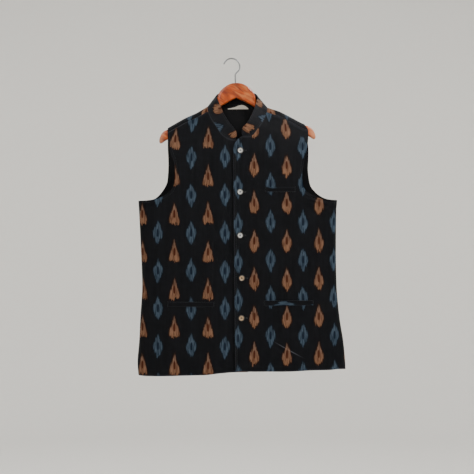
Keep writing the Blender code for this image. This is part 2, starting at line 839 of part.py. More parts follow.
def main():
    clear_scene()
    parts = new_collection("nehru_jacket")
    cutters = new_collection("cutters")
    ikat = material("ikat_cotton", (0.020, 0.022, 0.030), 0.85)
    lining = material("black_lining", (0.010, 0.010, 0.013), 0.55)
    button_finish = material("horn_button", (0.62, 0.55, 0.45), 0.35)
    label_finish = material("woven_label", (0.80, 0.78, 0.72), 0.8)
    wood = material("varnished_wood", (0.42, 0.16, 0.055), 0.3)
    steel = material("zinc_steel", (0.62, 0.62, 0.60), 0.3, 1.0)

    front_panel("front_right", 1, HEM_RIGHT, ARMHOLE_RIGHT, NECK_RIGHT, RIGHT_TOP_EDGE,
                RIGHT_FRONT_EDGE, under_point, parts, ikat)
    front_panel("front_left", 2, HEM_LEFT, ARMHOLE_LEFT, NECK_LEFT, LEFT_TOP_CORNER,
                LEFT_FRONT_EDGE, front_point, parts, ikat)
    make_back(parts, ikat)
    make_back_lining(parts, lining)
    make_collar(parts, ikat)
    for name, (front, *sizes) in WELTS.items():
        make_welt(name, front, sizes, parts, ikat)
    make_label(parts, label_finish)
    make_buttons(parts, button_finish)
    tilt = make_hanger(parts, cutters, wood)
    make_hook(parts, tilt, steel)


main()
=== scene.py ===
"""Looks of a nehru jacket on its wooden hanger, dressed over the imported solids.

Sizes are in millimetres and MM turns them to metres. The panels follow the same two cloth surfaces
as the solids, more finely divided, with creases, an ikat pattern, sewing and real finishes added.
"""

import math

import bmesh
import bpy
from mathutils import Matrix, Vector


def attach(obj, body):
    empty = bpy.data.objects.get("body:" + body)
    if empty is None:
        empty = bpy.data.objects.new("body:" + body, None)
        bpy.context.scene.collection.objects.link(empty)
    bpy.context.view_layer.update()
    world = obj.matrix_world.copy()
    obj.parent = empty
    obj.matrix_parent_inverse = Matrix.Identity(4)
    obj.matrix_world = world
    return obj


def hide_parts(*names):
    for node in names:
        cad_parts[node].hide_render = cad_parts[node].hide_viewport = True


MM = 0.001

# Cloth and seams
WALL = 2.0
LINING_WALL = 1.0
COLLAR_WALL = 2.5
WELT_WALL = 1.5
LABEL_WALL = 0.6
GAP = 0.3                   # between pieces, at their seams
LAID_GAP = 0.6              # under what is laid on a panel
SEAM_HALF = 0.35            # half the gap between the fronts and the back at their sides
COLLAR_TUCK = 0.4           # the collar's foot goes this far into its seam

# Shoulder: the back folds over the ridge, to a seam on the front side
FOLD_DROP = 15.0            # the fold's lower ends lie this far under the ridge
FOLD_HALF = 13.5            # half the fold's depth from front to back
FOLD_LENGTH = 44.0          # cloth that goes over the fold
NECK_EXTRA = 4.0            # more depth behind the neck, where the hanger's wood is widest
NECK_CENTRE = 7.0           # x, and the distances from it between which that falls to nothing
NECK_NEAR = 60.0
NECK_FAR = 90.0
NECK_DEPTH_ENDS = 110.0     # distance under the ridge at which the extra depth has gone

RIDGE = (  # x, z: top line of the shoulders, carried on as an arch over the open neck
    (-215, -204.0),
    (-189, -190.0),
    (-179, -184.5),
    (-159, -173.0),
    (-138, -161.5),
    (-107, -147.5),
    (-90, -137.5),
    (-77, -129.5),
    (-58, -116.5),
    (-40, -108.0),
    (-15, -96.5),
    (7, -92.0),
    (30, -97.0),
    (54, -108.5),
    (72, -119.5),
    (90, -132.5),
    (106, -138.0),
    (120, -142.5),
    (148, -156.0),
    (176, -171.0),
    (189, -177.5),
    (202, -181.0),
    (215, -189.0),
)

SIDE_SEAMS = (  # z, wearer's right x, wearer's left x
    (-890, -270.0, 310.0),
    (-845, -273.5, 308.0),
    (-790, -269.0, 303.0),
    (-720, -265.5, 292.0),
    (-630, -260.5, 284.0),
    (-530, -264.0, 282.0),
    (-420, -269.5, 283.0),
    (-393, -271.0, 285.0),
    (-300, -274.0, 288.0),
    (-150, -276.0, 290.0),
)

DEPTH = (  # distance under the ridge, front depth, back depth
    (0, 13.5, 13.5),
    (15, 13.5, 13.5),
    (24, 14.8, 14.5),
    (42, 19.5, 17.5),
    (70, 26.0, 21.5),
    (110, 31.5, 25.5),
    (160, 36.0, 29.0),
    (240, 39.5, 32.5),
    (400, 41.5, 35.0),
    (600, 42.5, 36.5),
    (850, 43.5, 38.0),
)
SIDE_ROUND = 2.4            # exponent of the rounding towards the side seams
ROUND_FROM = 30.0           # the rounding sets in between these distances under the ridge
ROUND_TO = 150.0

FOLDS_END = -880            # z at which the folds are fullest
FRONT_FOLDS = (  # x at the hem, x at its upper end, upper end z, width, height
    (-196, -150, -430, 30, 4.5),
    (-112, -120, -560, 26, -3.5),
    (-58, -66, -640, 22, 3.0),
    (92, 84, -700, 24, -3.0),
    (168, 120, -470, 32, 4.5),
    (246, 214, -590, 26, -4.5),
)
BACK_FOLDS = (
    (-190, -140, -380, 34, 5.0),
    (-96, -92, -520, 28, -4.0),
    (12, 7, -300, 36, 4.5),
    (118, 96, -540, 30, -4.0),
    (214, 160, -400, 34, 5.5),
)

# Hems, from the wearer's right to the left
HEM_RIGHT = ((-270, -881), (-240, -881.5), (-158, -879), (-89, -877), (-47, -872), (-5, -869), (35, -868))
HEM_LEFT = ((309, -863.5), (285, -862.5), (256, -864.5), (201, -864.5), (132, -867), (49, -867),
            (0.5, -866))
HEM_BACK = ((309, -863.5), (220, -866), (110, -869), (15, -872), (-90, -876), (-190, -879), (-270, -881))

# Armholes from the underarm up to the shoulder seam, cut deeper in the fronts than in the back
ARMHOLE_RIGHT = (
    (-271, -394),
    (-244, -393),
    (-222, -390),
    (-206, -384.5),
    (-186, -373.5),
    (-173.5, -360),
    (-167.5, -336),
    (-168.5, -292),
    (-180.5, -256),
    (-187, -228),
    (-188.5, -205),
)
ARMHOLE_LEFT = (
    (285, -392),
    (262, -391.5),
    (242, -389.5),
    (221, -383),
    (205, -373.5),
    (192.5, -362),
    (187, -345),
    (185.5, -322),
    (191, -283),
    (199, -248),
    (203, -224),
    (203.5, -202.5),
)
BACK_ARMHOLE_RIGHT = (  # x, z, up to the fold behind the shoulder
    (-271, -394),
    (-246, -392.5),
    (-226, -387),
    (-213, -376),
    (-204, -364.5),
    (-197, -353),
    (-191, -335),
    (-188.5, -290),
    (-190, -240),
    (-189, -205),
)
BACK_ARMHOLE_LEFT = (
    (285, -392),
    (256, -387.5),
    (235, -376.5),
    (222.5, -365),
    (213, -352.5),
    (208, -333),
    (205, -305),
    (206, -275),
    (206, -245),
    (200, -200.4),
)
FOLD_END_RIGHT = ((-189, 0), (-188.5, 22), (-188.5, 44))   # x, way round the fold
FOLD_END_LEFT = ((200, 0), (191, 20), (195, 32), (203.5, 44))

# Neckline: x, z, then the collar's upper edge x, y, z. The wearer's right front, from the shoulder
# to the collar's end at the centre
NECK_RIGHT = (
    (-76.0, -144.5, -50.0, -13.0, -110.5),
    (-67.0, -165.0, -41.0, -22.0, -131.5),
    (-56.0, -182.0, -33.5, -29.5, -149.5),
    (-45.5, -199.0, -25.5, -34.5, -164.0),
    (-36.5, -211.0, -17.5, -37.5, -176.5),
    (-26.0, -219.0, -9.0, -38.5, -187.0),
    (-14.5, -224.0, -1.0, -38.5, -197.0),
    (-6.5, -225.0, 3.0, -37.5, -206.5),
    (0.0, -225.0, 2.5, -36.0, -216.5),
)
NECK_LEFT = (
    (88.0, -146.5, 60.0, -13.0, -113.5),
    (80.0, -167.0, 55.5, -22.0, -132.5),
    (69.5, -183.5, 49.0, -29.5, -149.5),
    (59.5, -199.0, 42.5, -34.5, -163.0),
    (52.0, -209.5, 36.5, -37.5, -174.0),
    (44.0, -215.0, 30.0, -38.5, -183.0),
    (35.5, -216.5, 22.5, -38.5, -190.0),
    (28.0, -216.5, 19.0, -38.0, -200.0),
    (22.0, -216.0, 19.5, -37.0, -209.0),
)
# The back's neckline: x, way round the fold (below it, distance under it), and the upper edge
NECK_BACK = (
    (-76.0, 44.0, -50.0, -13.0, -110.5),
    (-77.5, 33.0, -53.0, -6.5, -103.5),
    (-76.5, 22.0, -53.0, 0.5, -98.0),
    (-70.0, 12.7, -49.0, 9.5, -93.5),
    (-58.0, 6.8, -40.0, 17.0, -89.0),
    (-40.0, 0.0, -27.0, 21.0, -86.5),
    (-16.0, -10.5, -10.0, 23.0, -85.0),
    (7.0, -15.5, 7.0, 23.5, -84.5),
    (30.0, -10.5, 24.0, 23.0, -85.0),
    (54.0, 0.0, 41.0, 21.0, -87.0),
    (71.0, 6.8, 53.0, 17.0, -90.0),
    (83.0, 12.7, 60.0, 9.5, -95.0),
    (89.5, 22.0, 62.5, 0.5, -100.0),
    (90.0, 33.0, 62.0, -6.5, -106.0),
    (88.0, 44.0, 60.0, -13.0, -113.5),
)

# Centre front. The left front lies on top; the right front steps back under it
LEFT_FRONT_EDGE = ((0.5, -866), (-2.5, -560), (-4.4, -360), (-5, -290), (-5, -265), (-4.7, -252),
                   (-3.4, -242), (-0.5, -234.5))
LEFT_FRONT_EDGE_BY_Z = [(z, x) for x, z in LEFT_FRONT_EDGE]
FRONT_EDGE_ROLL = (3.6, 18.0)        # how far its edge stands off, and how wide the roll is
ROLL_ENDS = (-300, -235)             # z between which the roll dies out below the collar
LEFT_TOP_CORNER = ((22, -216), (14, -218.5), (6, -225.5), (-0.5, -234.5))
RIGHT_FRONT_EDGE = ((35, -868), (33, -540), (31, -226))
RIGHT_TOP_EDGE = ((0, -225), (15, -225.5), (31, -226))
UNDERLAP_FROM = -32.0       # x between which the right front steps back
UNDERLAP_TO = -10.0
UNDERLAP_STEP = WALL + 0.6

# Welts: x from, x to, z of the lower edge, z of the upper edge
WELTS = {
    "chest_welt": ("front_left", 84, 165, -369.5, -357),
    "pocket_welt_left": ("front_left", 81, 215, -684, -670.5),
    "pocket_welt_right": ("front_right", -185.5, -58.5, -687.5, -674.5),
}

BUTTONS = ((14.4, -255.5), (13.5, -370.4), (13.5, -490.6), (18.2, -608.5), (17.4, -718.9))

LABEL = (-21, 37, -135.0, -119.3)      # x from, x to, z of the lower edge, z of the upper edge

# Hanger and hook, drawn upright and then tilted about the origin
HANG_TILT = math.radians(1.6)
GRAIN_SLANT = -34.0         # degrees that the wood's grain climbs to the wearer's left
PAINTED_GLARE_ENDS = (0.195, 0.215)  # metres from the middle, where the painted highlight on the arms' tips begins and is full
WOOD_WELD = 0.02            # corners nearer than this are one
WOOD_CELL = 1.5             # how finely the wood is divided before it is sanded round
SANDING = (0.5, 14)         # how hard, and how many times
WIRE = 2.0                  # radius of the hook's wire
HOOK_RADIUS = 22.6
HOOK_CENTRE_X = -10.5
HOOK_TIP_ANGLE = 163.0      # degrees from +X, where the wire begins
HOOK_LEAVE_ANGLE = -16.0    # where it leaves the round for the stem
STEM_X = -1.2
STEM_TOP = -44.0
STEM_BOTTOM = -76.0
HOOK_EASE = 0.42            # how far the easy bend reaches, as a share of its own chord
HOOK_STEPS = (60, 20)       # along the round and the bend
HOOK_TIP_ROUND = (0.45, 0.8, 0.95)   # the wire's cut end is filed round

# The lining inside the back, and the label's upper edge by shares of its length and height
LINING_SIDE = 22.0          # how far it stays inside the back's sides
LINING_END = 6.0            # and inside its hem and its neck
LINING_GAP = 1.4
LABEL_TOP = ((0.0, 0.12), (0.15, 0.2), (0.35, 0.4), (0.55, 0.68), (0.7, 0.76), (0.85, 0.58), (1.0, 0.15))

# Painted highlight where edges, hems, the collar and sharp creases' ridges would catch the light: 1 is a
# sharp crease's ridge
EDGE_PAINTED_HIGHLIGHT = 0.25
HEM_PAINTED_HIGHLIGHT = 0.55
COLLAR_PAINTED_SHEEN = 0.09        # painted sheen all over the stiffened collar, which faces up into the light
RIDGE_HALF = 1.9            # half-width of the painted highlight on the ridge

# How finely the panels are divided
SHOULDER_COLUMNS = 36
NECK_STEPS = 5              # columns between two rows of a neckline's table
CORNER_COLUMNS = 10
SIDE_ROWS = 108
ARMHOLE_ROWS = 60
FOLD_ROWS = 16
COLLAR_ROWS = 12
WELT_CELLS = (60, 8)
LABEL_CELLS = (30, 10)
HEM_CROWD = 1.15            # the columns crowd towards the side seams, more so the higher this is
SHOULDER_CROWD = 1.2
NECK_CORNER = 4             # the row of NECK_BACK at which its fold ends
UNDERARM = -385.0           # z under which the panels meet at the side seams

# How the flat points of a panel are laid out between its edges
TOP_FALL = 4                # the top edge's shape is felt only near it, and more so the higher this is
EASE_ROUNDS = 120
EASE_LEAST = 0.4            # twice the least area of a cell

# How a crease runs: its bow as a share of its length, and the stretches over which it rises and fades,
# as shares of its length
CREASE_BOW = 0.12
SHARP_BOW = 0.02
SHARP_CREASE = 4.0          # narrower ones are sharp, with a painted highlight on the ridge, at most one on a panel
CREASE_RISES = (-0.3, 0.35)
CREASE_FADES = (0.55, 1.3)

# Creases: x and z of one end, x and z of the other, half-width, height (below 0 for a trough)
LEFT_CREASES = (
    (117, -790, 179, -824.5, 3.4, 1.8),
    (108, -800, 176, -836, 6.0, -1.6),
    (150, -788, 196, -812, 9.0, 1.2),
    (100, -700, 66, -775, 17, 2.2),
    (196, -698, 226, -790, 20, 2.6),
    (150, -712, 160, -760, 16, -1.8),
    (60, -560, 150, -640, 26, 1.8),
    (240, -560, 262, -680, 18, -2.0),
    (206, -382, 276, -396, 4.5, 2.2),
    (204, -392, 278, -408, 4.5, 2.0),
    (206, -402, 272, -424, 6, 1.5),
    (196, -412, 250, -448, 9, -1.4),
    (150, -205, 176, -300, 18, -1.6),
    (60, -235, 108, -300, 20, 1.4),
    (44, -380, 90, -430, 22, 1.2),
    (96, -455, 190, -500, 28, -1.5),
    (30, -330, 62, -355, 10, 0.9),
    (32, -545, 66, -585, 12, 1.0),
    (34, -655, 60, -690, 11, -1.0),
)
RIGHT_CREASES = (
    (-200, -386, -256, -404, 7, 1.5),
    (-214, -396, -266, -424, 8, -1.3),
    (-140, -230, -168, -310, 18, -1.6),
    (-50, -250, -100, -310, 22, 1.3),
    (-60, -700, -84, -790, 18, 2.0),
    (-170, -700, -204, -800, 20, 2.4),
    (-120, -712, -128, -770, 15, -1.6),
    (-40, -480, -110, -560, 26, 1.5),
    (-226, -520, -250, -640, 18, -1.8),
    (-150, -430, -210, -500, 26, 1.5),
    (-16, -600, -44, -690, 12, 1.1),
    (-14, -790, -52, -850, 14, -1.3),
)
BACK_CREASES = (
    (-214, -384, -252, -404, 9, 1.8),
    (228, -382, 266, -404, 9, 1.8),
    (-60, -190, -130, -260, 22, -2.0),
    (76, -186, 140, -262, 24, -2.2),
    (7, -150, 7, -250, 20, 1.6),
    (-120, -400, -176, -520, 26, 2.4),
    (130, -410, 196, -540, 28, 2.6),
    (-30, -480, -60, -620, 24, -2.0),
    (40, -500, 84, -660, 26, 2.2),
    (-150, -640, -170, -800, 24, 2.6),
    (150, -660, 190, -810, 26, -2.6),
    (20, -700, 0, -830, 22, 2.0),
    (-224, -600, -242, -720, 16, -2.0),
    (236, -600, 262, -740, 18, 2.0),
)

# The cloth's pattern: two colours of motifs in turn, each with its own row, half a step apart
COLUMN_STEP = 90.0          # from one brown column to the next, with a blue one between
ROW_STEP = 104.7            # from one motif to the next one below
DRIFT_ENDS = (15, 45)       # across the cloth, where the drift by the front edge dies out
PATTERNS = {  # x and z of a brown motif's middle, column step as it hangs, drift of the front edge
    "front_right": (-75.2, -537.6, 93.5, 0.0),
    "front_left": (52.9, -507.0, 90.3, 7.0),
    "back": (9.0, -522.0, 90.0, 0.0),
}
CROSS_WELTS = {  # cut with the cloth turned: the z and x of a brown motif's middle
    "chest_welt": (-392.0, 48.7),
    "pocket_welt_left": (-730.0, 84.0),
    "pocket_welt_right": (-703.5, -97.6),
}
COLLAR_PATTERN = (  # side, row of its neckline table, place across the cloth, height of a brown middle
    ("right", 8, -18.0, 32.0),
    ("right", 6.9, -10.8, 32.0),
    ("right", 2.5, 45.0, 43.0),
    ("right", 0.9, 72.0, 42.0),
    ("right", 0, 90.0, 48.0),
    ("left", 0, 291.0, 46.0),
    ("left", 0.9, 315.0, 43.0),
    ("left", 3.5, 360.0, 37.0),
    ("left", 8, 398.0, 37.0),
)
COLLAR_LEAN = 0.6           # cut as a curved band: at its front parts the rows lean towards its ends

# Half-widths of a motif, as a share of its greatest, from its lower end to its upper
MOTIF_HALF = 13.5
MOTIF_REACH = 35.0          # the charts below run this far under and over a motif's middle
DROP = ((0.0, 0.0), (0.14, 0.0), (0.17, 0.9), (0.24, 1.0), (0.34, 0.95), (0.47, 0.78), (0.6, 0.54),
        (0.72, 0.34), (0.84, 0.16), (0.95, 0.04), (1.0, 0.0))
BROWN_LEAF = ((0.0, 0.0), (0.07, 0.0), (0.11, 0.24), (0.18, 0.5), (0.27, 0.8), (0.36, 0.96), (0.46, 0.93),
              (0.57, 0.74), (0.68, 0.5), (0.8, 0.27), (0.92, 0.08), (1.0, 0.0))
BLUE_LEAF = ((0.0, 0.0), (0.06, 0.0), (0.11, 0.2), (0.19, 0.36), (0.29, 0.6), (0.39, 0.86), (0.49, 0.98),
             (0.58, 0.94), (0.67, 0.76), (0.77, 0.48), (0.88, 0.2), (0.96, 0.04), (1.0, 0.0))
SLIT = ((0.0, 0.0), (0.35, 0.0), (0.4, 0.14), (0.5, 0.19), (0.63, 0.15), (0.72, 0.0), (1.0, 0.0))
SLIT_ROUND = 2.0            # the dye is thinner round the slit, over this many times its width
MOTIF_LEAST = 0.4           # a half-width less than this is bare cloth
HALO_EDGE = 2.0             # how softly each part of a motif ends, across the cloth
BODY_EDGE = 1.2
THIN_EDGE = 4.0
SLIT_EDGE = 0.8
WEAVE_STEP = 1.4            # drawn about four times coarser than the threads, so that it shows

# Dyes: the halo round a motif, the body low down and high up, each thin and full, and the slit
BROWN_DYES = ("#180903", (("#4E2E1C", "#74523B"), ("#3E2A20", "#675145")), "#341203")
BLUE_DYES = ("#060C14", (("#17222D", "#374552"), ("#1B242D", "#394551")), "#030D1C")
HALO = 2.6                  # how far a motif's dark halo stands out round it
WARP_BUNDLES = ((5.6, 1.4), (2.8, 3.2), (1.4, 3.6))   # width, and how far each slides up or down

# Sewing
SEAM_LEFT = (0.3, 0.02)     # cloth nearer the side seam's plane than the first is drawn in to the second
WELT_GAPE = 1.6
WELT_SEWN = 1.8             # a welt's stitches lie this far outside it
STITCH = (2.4, 0.7, 0.35)   # length, width, height
STITCH_STEP = 3.4
STITCH_SITS = 0.2           # share of its height that its middle stands over the cloth
TOPSTITCH = 6.0             # from a finished edge
FRONT_EDGE_SEWN = (0.004, 0.995)     # shares of an edge's length that the stitching runs from and to
CORNER_SEWN = (0.1, 1.0)
ARMHOLES_SEWN = (  # panel, edge, distance from it (below 0 on the right of its way), shares as above
    ("front_left", ARMHOLE_LEFT, TOPSTITCH, 0.01, 0.985),
    ("front_right", ARMHOLE_RIGHT, -TOPSTITCH, 0.01, 0.985),
    ("back", BACK_ARMHOLE_LEFT, TOPSTITCH, 0.01, 0.97),
    ("back", BACK_ARMHOLE_RIGHT, -TOPSTITCH, 0.01, 0.97),
)
COLLAR_SEWN = (0.12, 0.87)  # shares of the collar's height
BUTTONHOLE = (-3.0, 16.5)   # from the button's middle, away from the front edge
BUTTONHOLE_HALF = 1.5       # half of its width
BUTTONHOLE_STITCHES = 44
BUTTONHOLE_STITCH = (0.9, 1.7, 0.5)

# Edges sharper than this many degrees stay crisp
CLOTH_CRISP = 40            # and the room's sweep
HORN_CRISP = 35
WIRE_CRISP = 50

# Buttons, turned from the edge of the face inwards: inward, rise
BUTTON_RADIUS = 8.7
BUTTON_BODY = 1.9
BUTTON_TURNING = ((0.5, 0.6), (0.8, 0.3), (0.9, -0.1), (0.8, -0.8), (0.8, -0.35), (1.6, -0.1))
BUTTON_MIDDLE = 1.5         # height of the dished middle
GROOVE_RADIUS = 5.4
HOLE_RING = 2.2             # the four holes
HOLE_RADIUS = 0.9
BUTTON_SOFTNESS = 0.12      # its edges are worn round
BUTTON_TURN = 0.5           # radians that each is turned further than the last
STRANDS = (-0.35, 0.0, 0.35)         # of thread side by side in a bar between two holes
STRAND = (1.4, 0.5, 0.7)    # how much longer than the holes' distance, width, height
RIM_DARKENING = (2.4, 1.8)       # from the button's edge, where its darkening begins and is full

# Room
CAMERA = (0.005, -3.0, -0.495)
LENS = 81.4
LIT_MIDDLE = (0.0, 0.0, -0.45)
LIGHTS = (  # name, place, size, power
    ("key", (1.5, -1.7, 1.9), 0.7, 100.0),
    ("front", (-1.0, -2.6, 0.9), 1.0, 26.0),
    ("backdrop_right", (2.0, 1.0, 1.8), 1.4, 60.0),
    ("backdrop_left", (-2.0, 1.0, 1.8), 1.4, 60.0),
)
WORLD_STRENGTH = 0.14
FLOOR = -1.6
ROOM_RADIUS = 3.9
ROOM_HEIGHT = 4.6
SWEEP = 0.9                 # radius of the bend from floor to wall


# Curves through tables

def table_value(rows, column, at):
    """Read a table between its rows, on a smooth curve that never overshoots them."""
    if at <= rows[0][0]:
        return rows[0][column]
    if at >= rows[-1][0]:
        return rows[-1][column]
    index = 0
    while rows[index + 1][0] < at:
        index += 1
    x0, x1 = rows[index][0], rows[index + 1][0]
    y0, y1 = rows[index][column], rows[index + 1][column]
    slope = (y1 - y0) / (x1 - x0)
    before = table_slope(rows, column, index, slope)
    after = table_slope(rows, column, index + 1, slope)
    t = (at - x0) / (x1 - x0)
    span = x1 - x0
    return (y0 * (1 + 2 * t) * (1 - t) ** 2 + before * span * t * (1 - t) ** 2
            + y1 * t * t * (3 - 2 * t) + after * span * t * t * (t - 1))


def table_slope(rows, column, index, end_slope):
    if index == 0 or index == len(rows) - 1:
        return end_slope
    left = (rows[index][column] - rows[index - 1][column]) / (rows[index][0] - rows[index - 1][0])
    right = (rows[index + 1][column] - rows[index][column]) / (rows[index + 1][0] - rows[index][0])
    if left * right <= 0:
        return 0.0
    return 2 * left * right / (left + right)


def spline_point(points, at):
    """Catmull-Rom point, where at counts along the points from 0."""
    index = min(int(at), len(points) - 2)
    t = at - index
    here = Vector(points[index])
    there = Vector(points[index + 1])
    before = Vector(points[index - 1]) if index > 0 else here * 2 - there
    after = Vector(points[index + 2]) if index + 2 < len(points) else there * 2 - here
    return 0.5 * (here * 2 + (there - before) * t
                  + (before * 2 - here * 5 + there * 4 - after) * t * t
                  + (here * 3 - before - there * 3 + after) * t * t * t)


def along(points, shares):
    """Points on the smooth curve through a table, at the given shares of its length."""
    steps = 24 * (len(points) - 1)
    dense = [spline_point(points, i * (len(points) - 1) / steps) for i in range(steps + 1)]
    lengths = [0.0]
    for a, b in zip(dense, dense[1:]):
        lengths.append(lengths[-1] + (b - a).length)
    found = []
    index = 0
    for share in shares:
        target = share * lengths[-1]
        while index < steps - 1 and lengths[index + 1] < target:
            index += 1
        piece = lengths[index + 1] - lengths[index]
        t = (target - lengths[index]) / piece
        found.append(dense[index].lerp(dense[index + 1], min(max(t, 0.0), 1.0)))
    return found


def even(count):
    return [i / count for i in range(count + 1)]


def crowded(count, power):
    """Shares from 0 to 1 that crowd towards 0, where the cloth turns into the side seam."""
    return [(i / count) ** power for i in range(count + 1)]


def joined(*stretches):
    """One edge from several stretches, each ending where the next begins."""
    whole = list(stretches[0])
    for stretch in stretches[1:]:
        whole.extend(stretch[1:])
    return whole


# The cloth's surfaces

def ridge(x):
    return table_value(RIDGE, 1, x)


def blend(at, low, high):
    t = min(max((at - low) / (high - low), 0.0), 1.0)
    return t * t * (3 - 2 * t)


def side_rounding(x, z, under):
    """1 in the middle of a panel, falling to 0 at the side seam."""
    right = table_value(SIDE_SEAMS, 1, z)
    left = table_value(SIDE_SEAMS, 2, z)
    across = min(abs(2 * x - left - right) / (left - right), 1.0)
    rounded = (1 - across ** SIDE_ROUND) ** (1 / SIDE_ROUND)
    return 1 - blend(under, ROUND_FROM, ROUND_TO) * (1 - rounded)


def folds(rows, x, z):
    """Soft vertical folds that grow from their upper end down to the hem."""
    total = 0.0
    for hem_x, top_x, top_z, width, height in rows:
        down = (top_z - z) / (top_z - FOLDS_END)
        if down > 0:
            middle = top_x + (hem_x - top_x) * down
            total += height * blend(down, 0, 1) * math.exp(-((x - middle) / width) ** 2)
    return total


def front_point(x, z):
    under = ridge(x) - z
    rounding = side_rounding(x, z, under)
    depth = (table_value(DEPTH, 1, under) + folds(FRONT_FOLDS, x, z)) * rounding
    return Vector((x, -SEAM_HALF - depth, z))


def under_point(x, z):
    """The right front's surface, which steps back under the left front."""
    point = front_point(x, z)
    point.y += UNDERLAP_STEP * blend(x, UNDERLAP_FROM, UNDERLAP_TO)
    return point


def neck_share(x):
    return 1 - blend(abs(x - NECK_CENTRE), NECK_NEAR, NECK_FAR)


def back_point(x, flat_z):
    """flat_z goes on past the shoulder's fold, as if the cloth were laid out flat."""
    way = flat_z - (ridge(x) - FOLD_DROP)
    behind = FOLD_HALF + NECK_EXTRA * neck_share(x)
    if way > 0:
        angle = math.pi * way / FOLD_LENGTH
        reach = behind if angle < math.pi / 2 else FOLD_HALF
        height = ridge(x) - FOLD_DROP + FOLD_DROP * math.sin(angle)
        return Vector((x, reach * math.cos(angle), height))
    under = FOLD_DROP - way
    rounding = side_rounding(x, flat_z, under)
    extra = NECK_EXTRA * neck_share(x) * (1 - blend(under, FOLD_DROP, NECK_DEPTH_ENDS))
    depth = (table_value(DEPTH, 2, under) + extra + folds(BACK_FOLDS, x, flat_z)) * rounding
    return Vector((x, SEAM_HALF + depth, flat_z))


def on_fold(x, way):
    """Flat place on the back, from the way round its shoulder fold."""
    return (x, ridge(x) - FOLD_DROP + way)


def moved_out(surface, side, x, z, distance):
    """A point over a surface. side is -1 on the fronts and 1 on the back."""
    step = 0.5
    across = surface(x + step, z) - surface(x - step, z)
    up = surface(x, z + step) - surface(x, z - step)
    normal = across.cross(up).normalized() * -side
    return surface(x, z) + normal * distance


def creased(creases, x, z):
    """How far the creases lift the cloth at one place, and where that is beside the sharp crease.

    Each crease bows a little and fades out towards both its ends. The place is the distance from the
    sharp crease's ridge and how much of the ridge is left there.
    """
    height = 0.0
    beside_sharp = (0.0, 0.0, 0.0)
    for x0, z0, x1, z1, width, lift in creases:
        along_x, along_z = x1 - x0, z1 - z0
        length = math.hypot(along_x, along_z)
        t = ((x - x0) * along_x + (z - z0) * along_z) / length ** 2
        if CREASE_RISES[0] < t < CREASE_FADES[1]:
            beside = ((x - x0) * along_z - (z - z0) * along_x) / length
            sharp = width < SHARP_CREASE
            beside += (SHARP_BOW if sharp else CREASE_BOW) * length * (t - 0.5) ** 2
            fade = blend(t, *CREASE_RISES) * (1 - blend(t, *CREASE_FADES))
            height += lift * fade * math.exp(-(beside / width) ** 2)
            if sharp:
                beside_sharp = (beside, fade, 0.0)
    return height, beside_sharp


def relief(creases, x, z):
    return creased(creases, x, z)[0]


def rolled_front(x, z):
    """The left front's surface, whose free edge stands off a little."""
    point = front_point(x, z)
    edge = table_value(LEFT_FRONT_EDGE_BY_Z, 1, z)
    rise, width = FRONT_EDGE_ROLL
    point.y -= rise * (1 - blend(x - edge, 0, width)) * (1 - blend(z, *ROLL_ENDS))
    return point


def patch(bottom, top, first, last):
    """Flat points between four edges, by column and row."""
    columns = len(bottom) - 1
    rows = len(first) - 1
    grid = []
    for i in range(columns + 1):
        u = i / columns
        line = []
        for j in range(rows + 1):
            v = (j / rows) ** TOP_FALL
            corner = ((bottom[0] * (1 - u) + bottom[-1] * u) * (1 - v)
                      + (top[0] * (1 - u) + top[-1] * u) * v)
            line.append(first[j] * (1 - u) + last[j] * u + bottom[i] * (1 - v) + top[i] * v - corner)
        grid.append(line)
    return eased(grid)


def eased(grid):
    """The same points, drawn apart where cells would fold over, as they do by the underarms."""
    columns = len(grid) - 1
    rows = len(grid[0]) - 1
    way = 1 if grid[-1][0].x > grid[0][0].x else -1
    for _ in range(EASE_ROUNDS):
        tight = set()
        for i in range(columns):
            for j in range(rows):
                across = grid[i + 1][j + 1] - grid[i][j]
                back = grid[i][j + 1] - grid[i + 1][j]
                if way * (across.x * back.y - across.y * back.x) < EASE_LEAST:
                    tight.update((p, q) for p in (i, i + 1) for q in (j, j + 1))
        tight = [(i, j) for i, j in tight if 0 < i < columns and 0 < j < rows]
        if not tight:
            break
        for i, j in sorted(tight):
            grid[i][j] = (grid[i - 1][j] + grid[i + 1][j] + grid[i][j - 1] + grid[i][j + 1]) / 4
    return grid


def side_edge(table_column, hem_z, underarm_z, count):
    edge = []
    for share in even(count):
        z = hem_z + (underarm_z - hem_z) * share
        edge.append(Vector((table_value(SIDE_SEAMS, table_column, z), z)))
    return edge


def shoulder_line(from_x, from_way, to_x, to_way):
    line = []
    for share in crowded(SHOULDER_COLUMNS, SHOULDER_CROWD):
        x = from_x + (to_x - from_x) * share
        line.append(Vector(on_fold(x, from_way + (to_way - from_way) * share)))
    return line


def finer(rows):
    """A neckline's table read at every step, the rows' own values among them."""
    steps = NECK_STEPS * (len(rows) - 1)
    return [spline_point(rows, i / NECK_STEPS) for i in range(steps + 1)]


# Making cloth

def deselect_all():
    for thing in bpy.context.selected_objects:
        thing.select_set(False)


def laid_out(shape, points, surface):
    """Moves a grid's vertices to their flat points' places on a surface, and gives them by place."""
    columns = len(points) - 1
    rows = len(points[0]) - 1
    grid = {}
    for vertex in shape.verts:
        column = round((vertex.co.x + 0.5) * columns)
        row = round((vertex.co.y + 0.5) * rows)
        grid[column, row] = vertex
        if points[column][row] is not None:
            vertex.co = surface(*points[column][row]) * MM
    return grid


def print_cloth(shape, points, grid, pattern, measured):
    """Gives each place on a sheet its place on the printed cloth."""
    layer = shape.loops.layers.uv.active
    across = cloth_width(points, grid) if measured else None
    for (column, row), vertex in grid.items():
        if points[column][row] is not None:
            x, z = points[column][row]
            place = pattern(across[column][row] if measured else x, z)
            for loop in vertex.link_loops:
                loop[layer].uv = (place[0] * MM, place[1] * MM)


